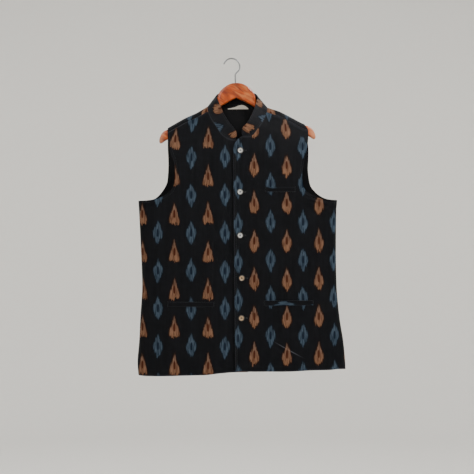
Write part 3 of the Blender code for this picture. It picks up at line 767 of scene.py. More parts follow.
def raise_creases(shape, points, grid, creases):
    """Lifts a sheet along its creases, and marks places beside its sharp one."""
    ridge_place = shape.verts.layers.float_vector["ridge"]
    shape.normal_update()
    moves = []
    for (column, row), vertex in grid.items():
        if points[column][row] is not None:
            lift, vertex[ridge_place] = creased(creases, *points[column][row])
            moves.append((vertex, vertex.normal * lift * MM))
    for vertex, move in moves:
        vertex.co += move


def cloth_sheet(name, points, surface, thickness, pattern, finishes, own_side=0, creases=(),
                measured=True, painted_sheen=0.0):
    """A sheet of cloth over flat points, by column and row.

    pattern turns a place into its place on the printed cloth, from a measured sheet's distance across
    the cloth and height, or else from the flat place. Places without a point are left out. own_side is
    -1 or 1 for the panels that meet at the side seams. The inner side takes the second finish. A vertex
    attribute holds painted highlight: a little on every edge, more on a panel's hem, and the given share
    all over. The ridge attribute says where a place lies beside the sharp crease, whose ridge is painted
    bright too.
    """
    deselect_all()
    bpy.ops.mesh.primitive_grid_add(x_subdivisions=len(points) - 1, y_subdivisions=len(points[0]) - 1,
                                    size=1.0, calc_uvs=True)
    sheet = bpy.context.object
    sheet.name = name
    sheet.data.name = name
    shape = bmesh.new()
    shape.from_mesh(sheet.data)
    painted_highlight = shape.verts.layers.float.new("painted_highlight")
    shape.verts.layers.float_vector.new("ridge")
    grid = laid_out(shape, points, surface)
    print_cloth(shape, points, grid, pattern, measured)
    spare = [vertex for (column, row), vertex in grid.items() if points[column][row] is None]
    bmesh.ops.delete(shape, geom=spare, context="VERTS")
    # painted highlight: a little on every edge and the given share all over, more along a panel's hem
    for vertex in shape.verts:
        vertex[painted_highlight] = EDGE_PAINTED_HIGHLIGHT if vertex.is_boundary else painted_sheen
    if own_side:
        for column in range(len(points)):
            grid[column, 0][painted_highlight] = HEM_PAINTED_HIGHLIGHT
    raise_creases(shape, points, grid, creases)
    shape.to_mesh(sheet.data)
    shape.free()
    for finish in finishes:
        sheet.data.materials.append(finish)
    wall = sheet.modifiers.new("Wall", "SOLIDIFY")
    wall.thickness = thickness * MM
    wall.offset = -1.0
    wall.material_offset = len(finishes) - 1
    bpy.ops.object.modifier_apply(modifier="Wall")
    for vertex in sheet.data.vertices:
        if own_side and vertex.co.z < UNDERARM * MM and vertex.co.y * own_side < SEAM_LEFT[0] * MM:
            vertex.co.y = own_side * SEAM_LEFT[1] * MM
    bpy.ops.object.shade_smooth_by_angle(angle=math.radians(CLOTH_CRISP))
    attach(sheet, "root")
    return sheet


def cloth_width(points, grid):
    """Each place's distance across the cloth, measured along it from the middle of the body."""
    columns = len(points) - 1
    rows = len(points[0]) - 1
    middle = min(range(columns + 1), key=lambda i: abs(points[i][0].x - NECK_CENTRE))
    across = [[0.0] * (rows + 1) for _ in points]
    for row in range(rows + 1):
        for step in (-1, 1):
            extra = 0.0
            column = middle
            while 0 <= column <= columns:
                here = points[column][row]
                if here is None:
                    extra = None
                else:
                    before = points[column - step][row] if column != middle else None
                    if extra is None or (before is None and column != middle):
                        extra = across[column][row - 1] - points[column][row - 1].x
                    elif before is not None:
                        dx = here.x - before.x
                        dy = (grid[column, row].co.y - grid[column - step, row].co.y) / MM
                        extra += step * (math.hypot(dx, dy) - abs(dx))
                    across[column][row] = here.x + extra
                column += step
    return across


def front_panel(name, side_column, hem, armhole, neck, top_end, centre_edge, surface, pattern,
                finishes, creases):
    seam = shoulder_line(armhole[-1][0], -GAP, neck[0][0], -GAP)
    top = joined(seam, [Vector(place[:2]) for place in finer(neck)], along(top_end, even(CORNER_COLUMNS)))
    columns = len(top) - 1
    side = joined(side_edge(side_column, hem[0][1], armhole[0][1], SIDE_ROWS),
                  along(armhole, even(ARMHOLE_ROWS)))
    side[-1] = top[0]
    centre = along(centre_edge, even(SIDE_ROWS + ARMHOLE_ROWS))
    bottom = along(hem, crowded(columns, HEM_CROWD))
    points = patch(bottom, top, side, centre)
    if bottom[0].x > bottom[-1].x:
        points.reverse()
    return cloth_sheet(name, points, surface, WALL, pattern, finishes, -1, creases)


def both_sides(count, power):
    """Shares from 0 to 1 that crowd towards both ends."""
    half = [share / 2 for share in crowded(count // 2, power)]
    return half + [1 - share for share in reversed(half[:-1])]


def neck_stations():
    """The back's neckline and the collar's upper edge, from the right shoulder seam to the left."""
    last = len(NECK_BACK) - 1
    over_fold = [NECK_CORNER * i / FOLD_ROWS for i in range(FOLD_ROWS + 1)]
    between = NECK_STEPS * (last - 2 * NECK_CORNER)
    behind = [NECK_CORNER + i / NECK_STEPS for i in range(1, between)]
    down_again = [last - at for at in reversed(over_fold)]
    return [spline_point(NECK_BACK, at) for at in over_fold + behind + down_again]


def back_body(side_inset, end_inset):
    """The back from its hem up to where the shoulders' folds begin."""
    right = joined(side_edge(1, HEM_BACK[-1][1] + end_inset, BACK_ARMHOLE_RIGHT[0][1], SIDE_ROWS),
                   along(BACK_ARMHOLE_RIGHT, even(ARMHOLE_ROWS)))
    left = joined(side_edge(2, HEM_BACK[0][1] + end_inset, BACK_ARMHOLE_LEFT[0][1], SIDE_ROWS),
                  along(BACK_ARMHOLE_LEFT, even(ARMHOLE_ROWS)))
    right = [Vector((point.x + side_inset, point.y)) for point in right]
    left = [Vector((point.x - side_inset, point.y)) for point in left]
    neck = neck_stations()[FOLD_ROWS:-FOLD_ROWS]
    from_right = shoulder_line(right[-1].x, -end_inset, neck[0][0], neck[0][1] - end_inset)
    from_left = shoulder_line(left[-1].x, -end_inset, neck[-1][0], neck[-1][1] - end_inset)
    across = [Vector(on_fold(place[0], place[1] - end_inset)) for place in neck]
    top = joined(from_right, across, list(reversed(from_left)))
    right[-1] = top[0]
    left[-1] = top[-1]
    shares = both_sides(len(top) - 1, HEM_CROWD)
    bottom = [Vector((point.x, point.y + end_inset)) for point in along(HEM_BACK[::-1], shares)]
    room = (left[0].x - right[0].x) / (bottom[-1].x - bottom[0].x)
    start = bottom[0].x
    bottom = [Vector((right[0].x + (place.x - start) * room, place.y)) for place in bottom]
    bottom[0] = right[0]
    bottom[-1] = left[0]
    return patch(bottom, top, right, left)


def shoulder_fold(body, fold_end, neck):
    """The part of the back that goes over one shoulder, by column from the armhole to the neck."""
    start = [column[-1] for column in body]
    seam_way = FOLD_LENGTH - GAP
    seam = shoulder_line(fold_end[-1][0], seam_way, neck[0][0], seam_way)
    outer = [Vector(on_fold(*row)) for row in along(fold_end, even(FOLD_ROWS))]
    inner = [Vector(on_fold(place[0], min(place[1], seam_way))) for place in reversed(neck)]
    outer[0] = start[0]
    outer[-1] = seam[0]
    inner[0] = start[-1]
    inner[-1] = seam[-1]
    return patch(start, seam, outer, inner)


def make_back(pattern, finishes):
    body = back_body(0.0, 0.0)
    stations = neck_stations()
    right = shoulder_fold(body[:SHOULDER_COLUMNS + 1], FOLD_END_RIGHT, stations[:FOLD_ROWS + 1])
    left = shoulder_fold(body[:-SHOULDER_COLUMNS - 2:-1], FOLD_END_LEFT,
                         stations[:-FOLD_ROWS - 2:-1])
    open_neck = [[None] * (FOLD_ROWS + 1)] * (len(body) - 2 * len(right))
    points = [low + high[1:] for low, high in zip(body, right + open_neck + left[::-1])]
    points.reverse()
    return cloth_sheet("back_cloth", points, back_point, WALL, pattern, finishes, 1, BACK_CREASES)


def make_back_lining(pattern, finish):
    points = back_body(LINING_SIDE, LINING_END)
    points.reverse()
    depth = -(WALL + LINING_GAP)
    return cloth_sheet("back_lining_cloth", points, lambda x, z: moved_out(back_point, 1, x, z, depth),
                       LINING_WALL, pattern, [finish])


def collar_seam():
    """The collar's foot and upper edge, station by station from its right end round to its left."""
    seam = []
    rim = []
    for place in reversed(finer(NECK_RIGHT)):
        seam.append(under_point(place[0], place[1]))
        rim.append(Vector(place[2:]))
    for place in neck_stations()[1:-1]:
        seam.append(back_point(*on_fold(place[0], place[1])))
        rim.append(Vector(place[2:]))
    for place in finer(NECK_LEFT):
        seam.append(front_point(place[0], place[1]))
        rim.append(Vector(place[2:]))
    return seam, rim


def collar_places(stations):
    """Each station's place across the cloth, and the height there of a brown motif's middle."""
    placed = []
    for side, row, place, height in COLLAR_PATTERN:
        station = NECK_STEPS * (len(NECK_RIGHT) - 1 - row)
        placed.append((station if side == "right" else stations - 1 - station, place, height))
    return [(table_value(placed, 1, station), table_value(placed, 2, station))
            for station in range(stations)]


def make_collar(finishes):
    """The stand collar, with the cloth's rows running up it and the pattern placed along it."""
    seam, rim = collar_seam()
    places = collar_places(len(seam))
    points = [[Vector((i, j)) for j in range(COLLAR_ROWS + 1)] for i in range(len(seam))]
    points.reverse()
    front = NECK_STEPS * (len(NECK_RIGHT) - 1)
    shoulders = (front, len(seam) - 1 - front)

    def surface(station, row):
        foot, edge = seam[int(station)], rim[int(station)]
        height = (edge - foot).length
        return foot.lerp(edge, ((height + COLLAR_TUCK) * row / COLLAR_ROWS - COLLAR_TUCK) / height)

    def pattern(station, row):
        height = (rim[int(station)] - seam[int(station)]).length * row / COLLAR_ROWS
        across, middle = places[int(station)]
        lean = COLLAR_LEAN * (2 * blend(station, *shoulders) - 1)
        return across - lean * height, height - middle

    # the collar gets painted sheen all over
    return cloth_sheet("collar_cloth", points, surface, COLLAR_WALL, pattern, finishes,
                       measured=False, painted_sheen=COLLAR_PAINTED_SHEEN)


def strip(from_x, to_x, low_z, high_z, columns, rows):
    """Flat points of a plain strip."""
    return [[Vector((from_x + (to_x - from_x) * i / columns, low_z + (high_z - low_z) * j / rows))
             for j in range(rows + 1)] for i in range(columns + 1)]


def printed(panel):
    """Where a place on a panel lies on the printed cloth."""
    x, z, step, drift = PATTERNS[panel]
    return lambda across, up: ((across - x) * COLUMN_STEP / step,
                               up - z + drift * (1 - blend(across, *DRIFT_ENDS)))


def cross_printed(welt):
    """The same on a welt that was cut with the cloth turned a quarter."""
    z, x = CROSS_WELTS[welt]
    return lambda across, up: (up - z, across - x)


def make_welt(name, creases, pattern, finishes):
    """A pocket's welt: a folded strip that lies on its front, gaping a little at its upper edge."""
    front, from_x, to_x, low_z, high_z = WELTS[name]
    surface = front_point if front == "front_left" else under_point

    def gaping(x, z):
        inward = math.sin(math.pi * (x - from_x) / (to_x - from_x))
        gape = WELT_GAPE * inward * blend(z, low_z, high_z)
        lift = max(relief(creases, x, z), 0.0)
        return moved_out(surface, -1, x, z, LAID_GAP + WELT_WALL + gape + lift)

    points = strip(from_x, to_x, low_z, high_z, *WELT_CELLS)
    return cloth_sheet(name + "_cloth", points, gaping, WELT_WALL, pattern, finishes)


def make_label(finish):
    """A bare woven label with an arched top edge."""
    depth = -(WALL + LINING_GAP + LINING_WALL + LAID_GAP)
    points = strip(*LABEL, *LABEL_CELLS)
    points.reverse()
    from_x, to_x, low_z, _ = LABEL
    for column in points:
        arch = table_value(LABEL_TOP, 1, (column[0].x - from_x) / (to_x - from_x))
        for place in column:
            place.y = low_z + (place.y - low_z) * arch
    return cloth_sheet("neck_label_tape", points, lambda x, z: moved_out(back_point, 1, x, z, depth),
                       LABEL_WALL, lambda across, up: (across, up), [finish])


# Sewing

def repeated(name, part, places, finish):
    """One piece from copies of a modelled part, each at its own place."""
    vertices = []
    faces = []
    for place in places:
        first = len(vertices)
        vertices.extend(place @ vertex.co for vertex in part.vertices)
        faces.extend([first + index for index in face.vertices] for face in part.polygons)
    mesh = bpy.data.meshes.new(name)
    mesh.from_pydata(vertices, [], faces)
    mesh.materials.append(finish)
    for face in mesh.polygons:
        face.use_smooth = True
    piece = bpy.data.objects.new(name, mesh)
    bpy.context.scene.collection.objects.link(piece)
    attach(piece, "root")
    return piece


def lying(spot, way, normal, sizes):
    """The place of a stitch: its middle, the way it runs, what it lies on and its sizes."""
    way = (way - normal * way.dot(normal)).normalized()
    turn = Matrix((way, normal.cross(way), normal)).transposed().to_4x4()
    size = Matrix.Diagonal((sizes[0] * MM, sizes[1] * MM, sizes[2] * MM, 1.0))
    return Matrix.Translation(spot * MM) @ turn @ size


def stitch_places(path):
    """Stitches along a path of (point, normal), evenly spaced."""
    found = []
    travelled = 0.0
    due = STITCH_STEP / 2
    for (here, normal), (there, next_normal) in zip(path, path[1:]):
        step = there - here
        while step.length > 1e-6 and due <= travelled + step.length:
            t = (due - travelled) / step.length
            up = normal.lerp(next_normal, t).normalized()
            found.append(lying(here + step * t + up * STITCH[2] * STITCH_SITS, step, up, STITCH))
            due += STITCH_STEP
        travelled += step.length
    return found


def on_cloth(surface, side, creases, flat_places):
    """The path over a panel, creases among it, that follows flat places."""
    path = []
    for x, z in flat_places:
        out = moved_out(surface, side, x, z, 1.0) - surface(x, z)
        path.append((surface(x, z) + out * relief(creases, x, z), out))
    return path


def beside(points, distance, share_from=0.0, share_to=1.0):
    """A line beside an edge. Above 0 it lies on the left of the way the edge runs."""
    count = 60
    edge = along(points, [share_from + (share_to - share_from) * share for share in even(count)])
    line = []
    for i in range(count + 1):
        way = (edge[min(i + 1, count)] - edge[max(i - 1, 0)]).normalized()
        line.append((edge[i].x - way.y * distance, edge[i].y + way.x * distance))
    return line


def collar_path(share):
    """The path round the collar's outside at a share of its height."""
    seam, rim = collar_seam()
    path = []
    for i in range(1, len(seam) - 1):
        normal = (rim[i + 1] - rim[i - 1]).cross(rim[i] - seam[i]).normalized()
        path.append((seam[i].lerp(rim[i], share), normal))
    return path


def stitch_shape():
    """One stitch, a thick grain of thread 1 by 1 by 1."""
    deselect_all()
    bpy.ops.mesh.primitive_ico_sphere_add(subdivisions=1, radius=0.5)
    stitch = bpy.context.object
    mesh = stitch.data
    bpy.data.objects.remove(stitch)
    return mesh


def make_sewing(finish):
    """All the rows of machine stitching that show, as one piece. The hems are blind-stitched."""
    panels = {
        "front_left": (rolled_front, -1, LEFT_CREASES),
        "front_right": (under_point, -1, RIGHT_CREASES),
        "back": (back_point, 1, BACK_CREASES),
    }
    corner = beside(LEFT_TOP_CORNER, TOPSTITCH, *CORNER_SEWN)
    edge = beside(LEFT_FRONT_EDGE, -TOPSTITCH, *FRONT_EDGE_SEWN)
    rows = [on_cloth(*panels["front_left"], edge + corner[::-1])]
    for panel, *line in ARMHOLES_SEWN:
        rows.append(on_cloth(*panels[panel], beside(*line)))
    rows.extend(collar_path(share) for share in COLLAR_SEWN)
    for panel, from_x, to_x, low_z, high_z in WELTS.values():
        low, high = low_z - WELT_SEWN, high_z + WELT_SEWN
        foot = [(x, low) for x in (from_x, (from_x + to_x) / 2, to_x)]
        rows.append(on_cloth(*panels[panel], foot))
        for x in (from_x - WELT_SEWN, to_x + WELT_SEWN):
            rows.append(on_cloth(*panels[panel], [(x, low), (x, high)]))
    places = [place for path in rows for place in stitch_places(path)]
    return repeated("sewing_thread", stitch_shape(), places, finish)


# Buttons

def button_shape():
    """A four-hole button, face up at the origin: a turned rim round a dished middle."""
    deselect_all()
    bpy.ops.mesh.primitive_cylinder_add(vertices=48, radius=BUTTON_RADIUS * MM, depth=BUTTON_BODY * MM,
                                        location=(0, 0, BUTTON_BODY / 2 * MM))
    blank = bpy.context.object
    bpy.ops.object.transform_apply()
    bpy.ops.object.mode_set(mode="EDIT")
    bpy.ops.mesh.select_mode(type="FACE")
    bpy.ops.mesh.select_all(action="DESELECT")
    shape = bmesh.from_edit_mesh(blank.data)
    top = max(shape.faces, key=lambda face: face.calc_center_median().z)
    top.select_set(True)
    bmesh.update_edit_mesh(blank.data)
    for inward, rise in BUTTON_TURNING:
        bpy.ops.mesh.inset(thickness=inward * MM, depth=rise * MM)
    bpy.ops.object.mode_set(mode="OBJECT")
    for i in range(4):
        angle = math.radians(45 + 90 * i)
        place = (HOLE_RING * math.cos(angle) * MM, HOLE_RING * math.sin(angle) * MM, 0)
        bpy.ops.mesh.primitive_cylinder_add(vertices=16, radius=HOLE_RADIUS * MM, depth=8 * MM,
                                            location=place)
        drill = bpy.context.object
        hole = blank.modifiers.new("Hole", "BOOLEAN")
        hole.object = drill
        hole.operation = "DIFFERENCE"
        apply_on(blank, hole)
        bpy.data.objects.remove(drill)
    soft = blank.modifiers.new("Edges", "BEVEL")
    soft.width = BUTTON_SOFTNESS * MM
    soft.segments = 2
    soft.limit_method = "ANGLE"
    apply_on(blank, soft)
    bpy.ops.object.shade_smooth_by_angle(angle=math.radians(HORN_CRISP))
    mesh = blank.data
    layer = mesh.uv_layers.active
    for loop in mesh.loops:
        layer.uv[loop.index].vector = mesh.vertices[loop.vertex_index].co.xy
    bpy.data.objects.remove(blank)
    return mesh


def apply_on(piece, modifier):
    deselect_all()
    piece.select_set(True)
    bpy.context.view_layer.objects.active = piece
    bpy.ops.object.modifier_apply(modifier=modifier.name)


def button_seat(number, x, z):
    """Where a button sits on the left front, turned a little its own way."""
    lift = max(relief(LEFT_CREASES, x, z), 0.0)
    foot = moved_out(rolled_front, -1, x, z, GAP + lift)
    outward = (foot - rolled_front(x, z)).normalized()
    turn = outward.to_track_quat("Z", "Y").to_matrix().to_4x4()
    return Matrix.Translation(foot * MM) @ turn @ Matrix.Rotation(BUTTON_TURN * number, 4, "Z")


def make_buttons(finishes):
    shape = button_shape()
    pieces = []
    for number, ((x, z), finish) in enumerate(zip(BUTTONS, finishes), start=1):
        mesh = shape.copy()
        mesh.transform(button_seat(number, x, z))
        mesh.materials.append(finish)
        button = bpy.data.objects.new("button_%d_face" % number, mesh)
        mesh.name = button.name
        bpy.context.scene.collection.objects.link(button)
        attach(button, "root")
        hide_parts("button_%d" % number)
        pieces.append(button)
    return pieces


def make_button_thread(finish):
    """Two bars of thread through each button's holes."""
    reach = HOLE_RING * math.cos(math.radians(45))
    places = []
    for number, (x, z) in enumerate(BUTTONS, start=1):
        seat = button_seat(number, x, z)
        for bar in (-reach, reach):
            for strand in STRANDS:
                spot = Vector((bar + strand, 0, BUTTON_MIDDLE))
                sizes = (2 * reach + STRAND[0], *STRAND[1:])
                place = lying(spot, Vector((0, 1, 0)), Vector((0, 0, 1)), sizes)
                places.append(seat @ place)
    return repeated("button_thread", stitch_shape(), places, finish)


def make_buttonholes(finish):
    """Worked buttonholes: close stitches round each slot, mostly under its button."""
    places = []
    half = (BUTTONHOLE[1] - BUTTONHOLE[0]) / 2
    for x, z in BUTTONS:
        ring = []
        for share in even(BUTTONHOLE_STITCHES):
            angle = 2 * math.pi * share
            rise = math.copysign(abs(math.sin(angle)) ** 0.5, math.sin(angle))
            ring.append((x + BUTTONHOLE[0] + half + half * math.cos(angle), z + BUTTONHOLE_HALF * rise))
        path = on_cloth(rolled_front, -1, LEFT_CREASES, ring)
        for (here, normal), (there, _) in zip(path, path[1:]):
            places.append(lying((here + there) / 2, there - here, normal, BUTTONHOLE_STITCH))
    return repeated("buttonhole_thread", stitch_shape(), places, finish)


# Hanger and hook

def make_hanger(finish):
    """The hanger's wood, sanded round from its solid."""
    wood = bpy.data.objects.new("hanger_wood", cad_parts["hanger"].data.copy())
    wood.data.name = "hanger_wood"
    bpy.context.scene.collection.objects.link(wood)
    merged = wood.modifiers.new("Merged", "WELD")
    merged.merge_threshold = WOOD_WELD * MM
    apply_on(wood, merged)
    blocks = wood.modifiers.new("Even", "REMESH")
    blocks.mode = "VOXEL"
    blocks.voxel_size = WOOD_CELL * MM
    apply_on(wood, blocks)
    sanded = wood.modifiers.new("Sanded", "SMOOTH")
    sanded.factor, sanded.iterations = SANDING
    apply_on(wood, sanded)
    wood.data.materials.clear()
    wood.data.materials.append(finish)
    bpy.ops.object.shade_smooth()
    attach(wood, "root")
    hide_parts("hanger")
    return wood


def hook_points():
    """The wire's middle line: a round, an easy bend and a stem that goes down into the wood."""
    centre_z = -math.sqrt((HOOK_RADIUS - WIRE) ** 2 - HOOK_CENTRE_X ** 2)
    points = []
    for share in even(HOOK_STEPS[0]):
        angle = math.radians(HOOK_TIP_ANGLE + (HOOK_LEAVE_ANGLE - HOOK_TIP_ANGLE) * share)
        points.append(Vector((HOOK_CENTRE_X + HOOK_RADIUS * math.cos(angle), 0,
                              centre_z + HOOK_RADIUS * math.sin(angle))))
    start = points[-1]
    leave = (points[-1] - points[-2]).normalized()
    end = Vector((STEM_X, 0, STEM_TOP))
    pull = HOOK_EASE * (end - start).length
    for t in even(HOOK_STEPS[1])[1:]:
        points.append(start * (1 - t) ** 3 + (start + leave * pull) * 3 * t * (1 - t) ** 2
                      + (end + Vector((0, 0, pull))) * 3 * t * t * (1 - t) + end * t ** 3)
    return points + [Vector((STEM_X, 0, STEM_BOTTOM))]


def make_hook(finish):
    curve = bpy.data.curves.new("hook_wire", "CURVE")
    curve.dimensions = "3D"
    curve.bevel_depth = WIRE * MM
    curve.bevel_resolution = 6
    curve.use_fill_caps = True
    points = hook_points()
    line = curve.splines.new("POLY")
    line.points.add(len(points) - 1)
    tilt = Matrix.Rotation(-HANG_TILT, 4, "Y")
    for place, point in zip(line.points, points):
        place.co = (*(tilt @ (point * MM)), 1.0)
    for place, share in zip(line.points, HOOK_TIP_ROUND):
        place.radius = share
    wire = bpy.data.objects.new("hook_wire", curve)
    bpy.context.scene.collection.objects.link(wire)
    deselect_all()
    bpy.context.view_layer.objects.active = wire
    wire.select_set(True)
    bpy.ops.object.convert(target="MESH")
    wire = bpy.context.object
    wire.data.materials.clear()
    wire.data.materials.append(finish)
    bpy.ops.object.shade_smooth_by_angle(angle=math.radians(WIRE_CRISP))
    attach(wire, "root")
    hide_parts("hook")
    return wire


# Finishes

# A Mix node of colours: its socket 0 is how much of 7 covers 6
COLOURS = {"out": 2, "data_type": "RGBA"}


def linear(code):
    """An sRGB hex colour as the linear colour that shaders take."""
    shares = [int(code[i:i + 2], 16) / 255 for i in (1, 3, 5)]
    return (*(c / 12.92 if c <= 0.04045 else ((c + 0.055) / 1.055) ** 2.4 for c in shares), 1.0)


def add(tree, kind, values=(), out=0, **settings):
    """Adds a shader node and gives one of its outputs.

    values are for its sockets, in order, or by name or number where they are a dict.
    """
    node = tree.nodes.new("ShaderNode" + kind)
    for name, setting in settings.items():
        setattr(node, name, setting)
    for socket, value in (values.items() if isinstance(values, dict) else enumerate(values)):
        if isinstance(value, bpy.types.NodeSocket):
            tree.links.new(value, node.inputs[socket])
        else:
            node.inputs[socket].default_value = value
    return node.outputs[out]


def new_finish(name, **values):
    """A new finish: its material and its node tree."""
    material = bpy.data.materials.new(name)
    material.use_nodes = True
    shader = material.node_tree.nodes["Principled BSDF"]
    for socket, value in values.items():
        shader.inputs[socket.replace("_", " ")].default_value = value
    return material, material.node_tree


def finished(material, **outputs):
    """The finish, with nodes' outputs led to its Principled shader."""
    tree = material.node_tree
    shader = tree.nodes["Principled BSDF"]
    for socket, output in outputs.items():
        tree.links.new(output, shader.inputs[socket.replace("_", " ")])
    return material


def half_width(tree, height, rows):
    """A motif's half-width in millimetres, at each share of its height."""
    width = add(tree, "FloatCurve", {"Value": height})
    curve = width.node.mapping.curves[0]
    curve.points[0].location = rows[0]
    curve.points[1].location = rows[-1]
    for row in rows[1:-1]:
        curve.points.new(*row)
    width.node.mapping.extend = "HORIZONTAL"
    width.node.mapping.update()
    return add(tree, "Math", (width, MOTIF_HALF), operation="MULTIPLY")


def covers(tree, half, beside, edge):
    """1 where a place lies nearer a motif's middle line than its half-width, with a soft edge."""
    room = add(tree, "Math", (half, beside), operation="SUBTRACT")
    share = add(tree, "Math", (room, 1 / edge, 0.5), operation="MULTIPLY_ADD", use_clamp=True)
    there = add(tree, "Math", (half, MOTIF_LEAST), operation="GREATER_THAN")
    return add(tree, "Math", (share, there), operation="MULTIPLY")


def motifs(tree, across, up, shift, body_rows):
    """The covers of one colour of motifs, halo, body, thinner dye and slit, and the share of its height.

    Every bundle of warp threads slid a little on its own when the cloth was tied for dyeing, so each
    motif is stepped at its ends, bundle by bundle.
    """
    column_place = add(tree, "Math", (across, 1 / COLUMN_STEP, shift), operation="MULTIPLY_ADD")
    row_place = add(tree, "Math", (up, 1 / ROW_STEP, shift), operation="MULTIPLY_ADD")
    column = add(tree, "Math", (column_place,), operation="ROUND")
    row = add(tree, "Math", (row_place,), operation="ROUND")
    off_column = add(tree, "Math", (column_place, column), operation="SUBTRACT")
    off_row = add(tree, "Math", (row_place, row), operation="SUBTRACT")
    unslid = add(tree, "Math", (off_row, ROW_STEP), operation="MULTIPLY")
    slid = unslid
    for bundle, slide in WARP_BUNDLES:
        number = add(tree, "Math", (across, 1 / bundle, shift), operation="MULTIPLY_ADD")
        whole = add(tree, "Math", (number,), operation="FLOOR")
        seed = add(tree, "CombineXYZ", (whole, row, slide))
        random = add(tree, "TexWhiteNoise", (seed,))
        move = add(tree, "Math", (random, 2 * slide, -slide), operation="MULTIPLY_ADD")
        slid = add(tree, "Math", (slid, move), operation="ADD")
    finest = WARP_BUNDLES[-1][0]
    off_middle = add(tree, "Math", (off_column, COLUMN_STEP), operation="MULTIPLY")
    stepped = add(tree, "Math", (off_middle, finest), operation="SNAP")
    stepped = add(tree, "Math", (stepped, finest / 2), operation="ADD")
    beside = add(tree, "Math", (stepped,), operation="ABSOLUTE")
    height = add(tree, "Math", (slid, 0.5 / MOTIF_REACH, 0.5), operation="MULTIPLY_ADD")
    body_half = half_width(tree, height, body_rows)
    height = add(tree, "Math", (unslid, 0.5 / MOTIF_REACH, 0.5), operation="MULTIPLY_ADD")
    slit_half = half_width(tree, height, SLIT)
    off_middle = add(tree, "Math", (off_middle,), operation="ABSOLUTE")
    wider = add(tree, "Math", (slid, 0.5 / (MOTIF_REACH + HALO), 0.5), operation="MULTIPLY_ADD")
    outer_half = half_width(tree, wider, body_rows)
    there = add(tree, "Math", (outer_half, MOTIF_LEAST), operation="GREATER_THAN")
    outer_half = add(tree, "Math", (there, HALO, outer_half), operation="MULTIPLY_ADD")
    round_half = add(tree, "Math", (slit_half, body_half), operation="MINIMUM")
    round_half = add(tree, "Math", (round_half, SLIT_ROUND), operation="MULTIPLY")
    return (covers(tree, outer_half, beside, HALO_EDGE), covers(tree, body_half, beside, BODY_EDGE),
            covers(tree, round_half, off_middle, THIN_EDGE),
            covers(tree, slit_half, off_middle, SLIT_EDGE), height)


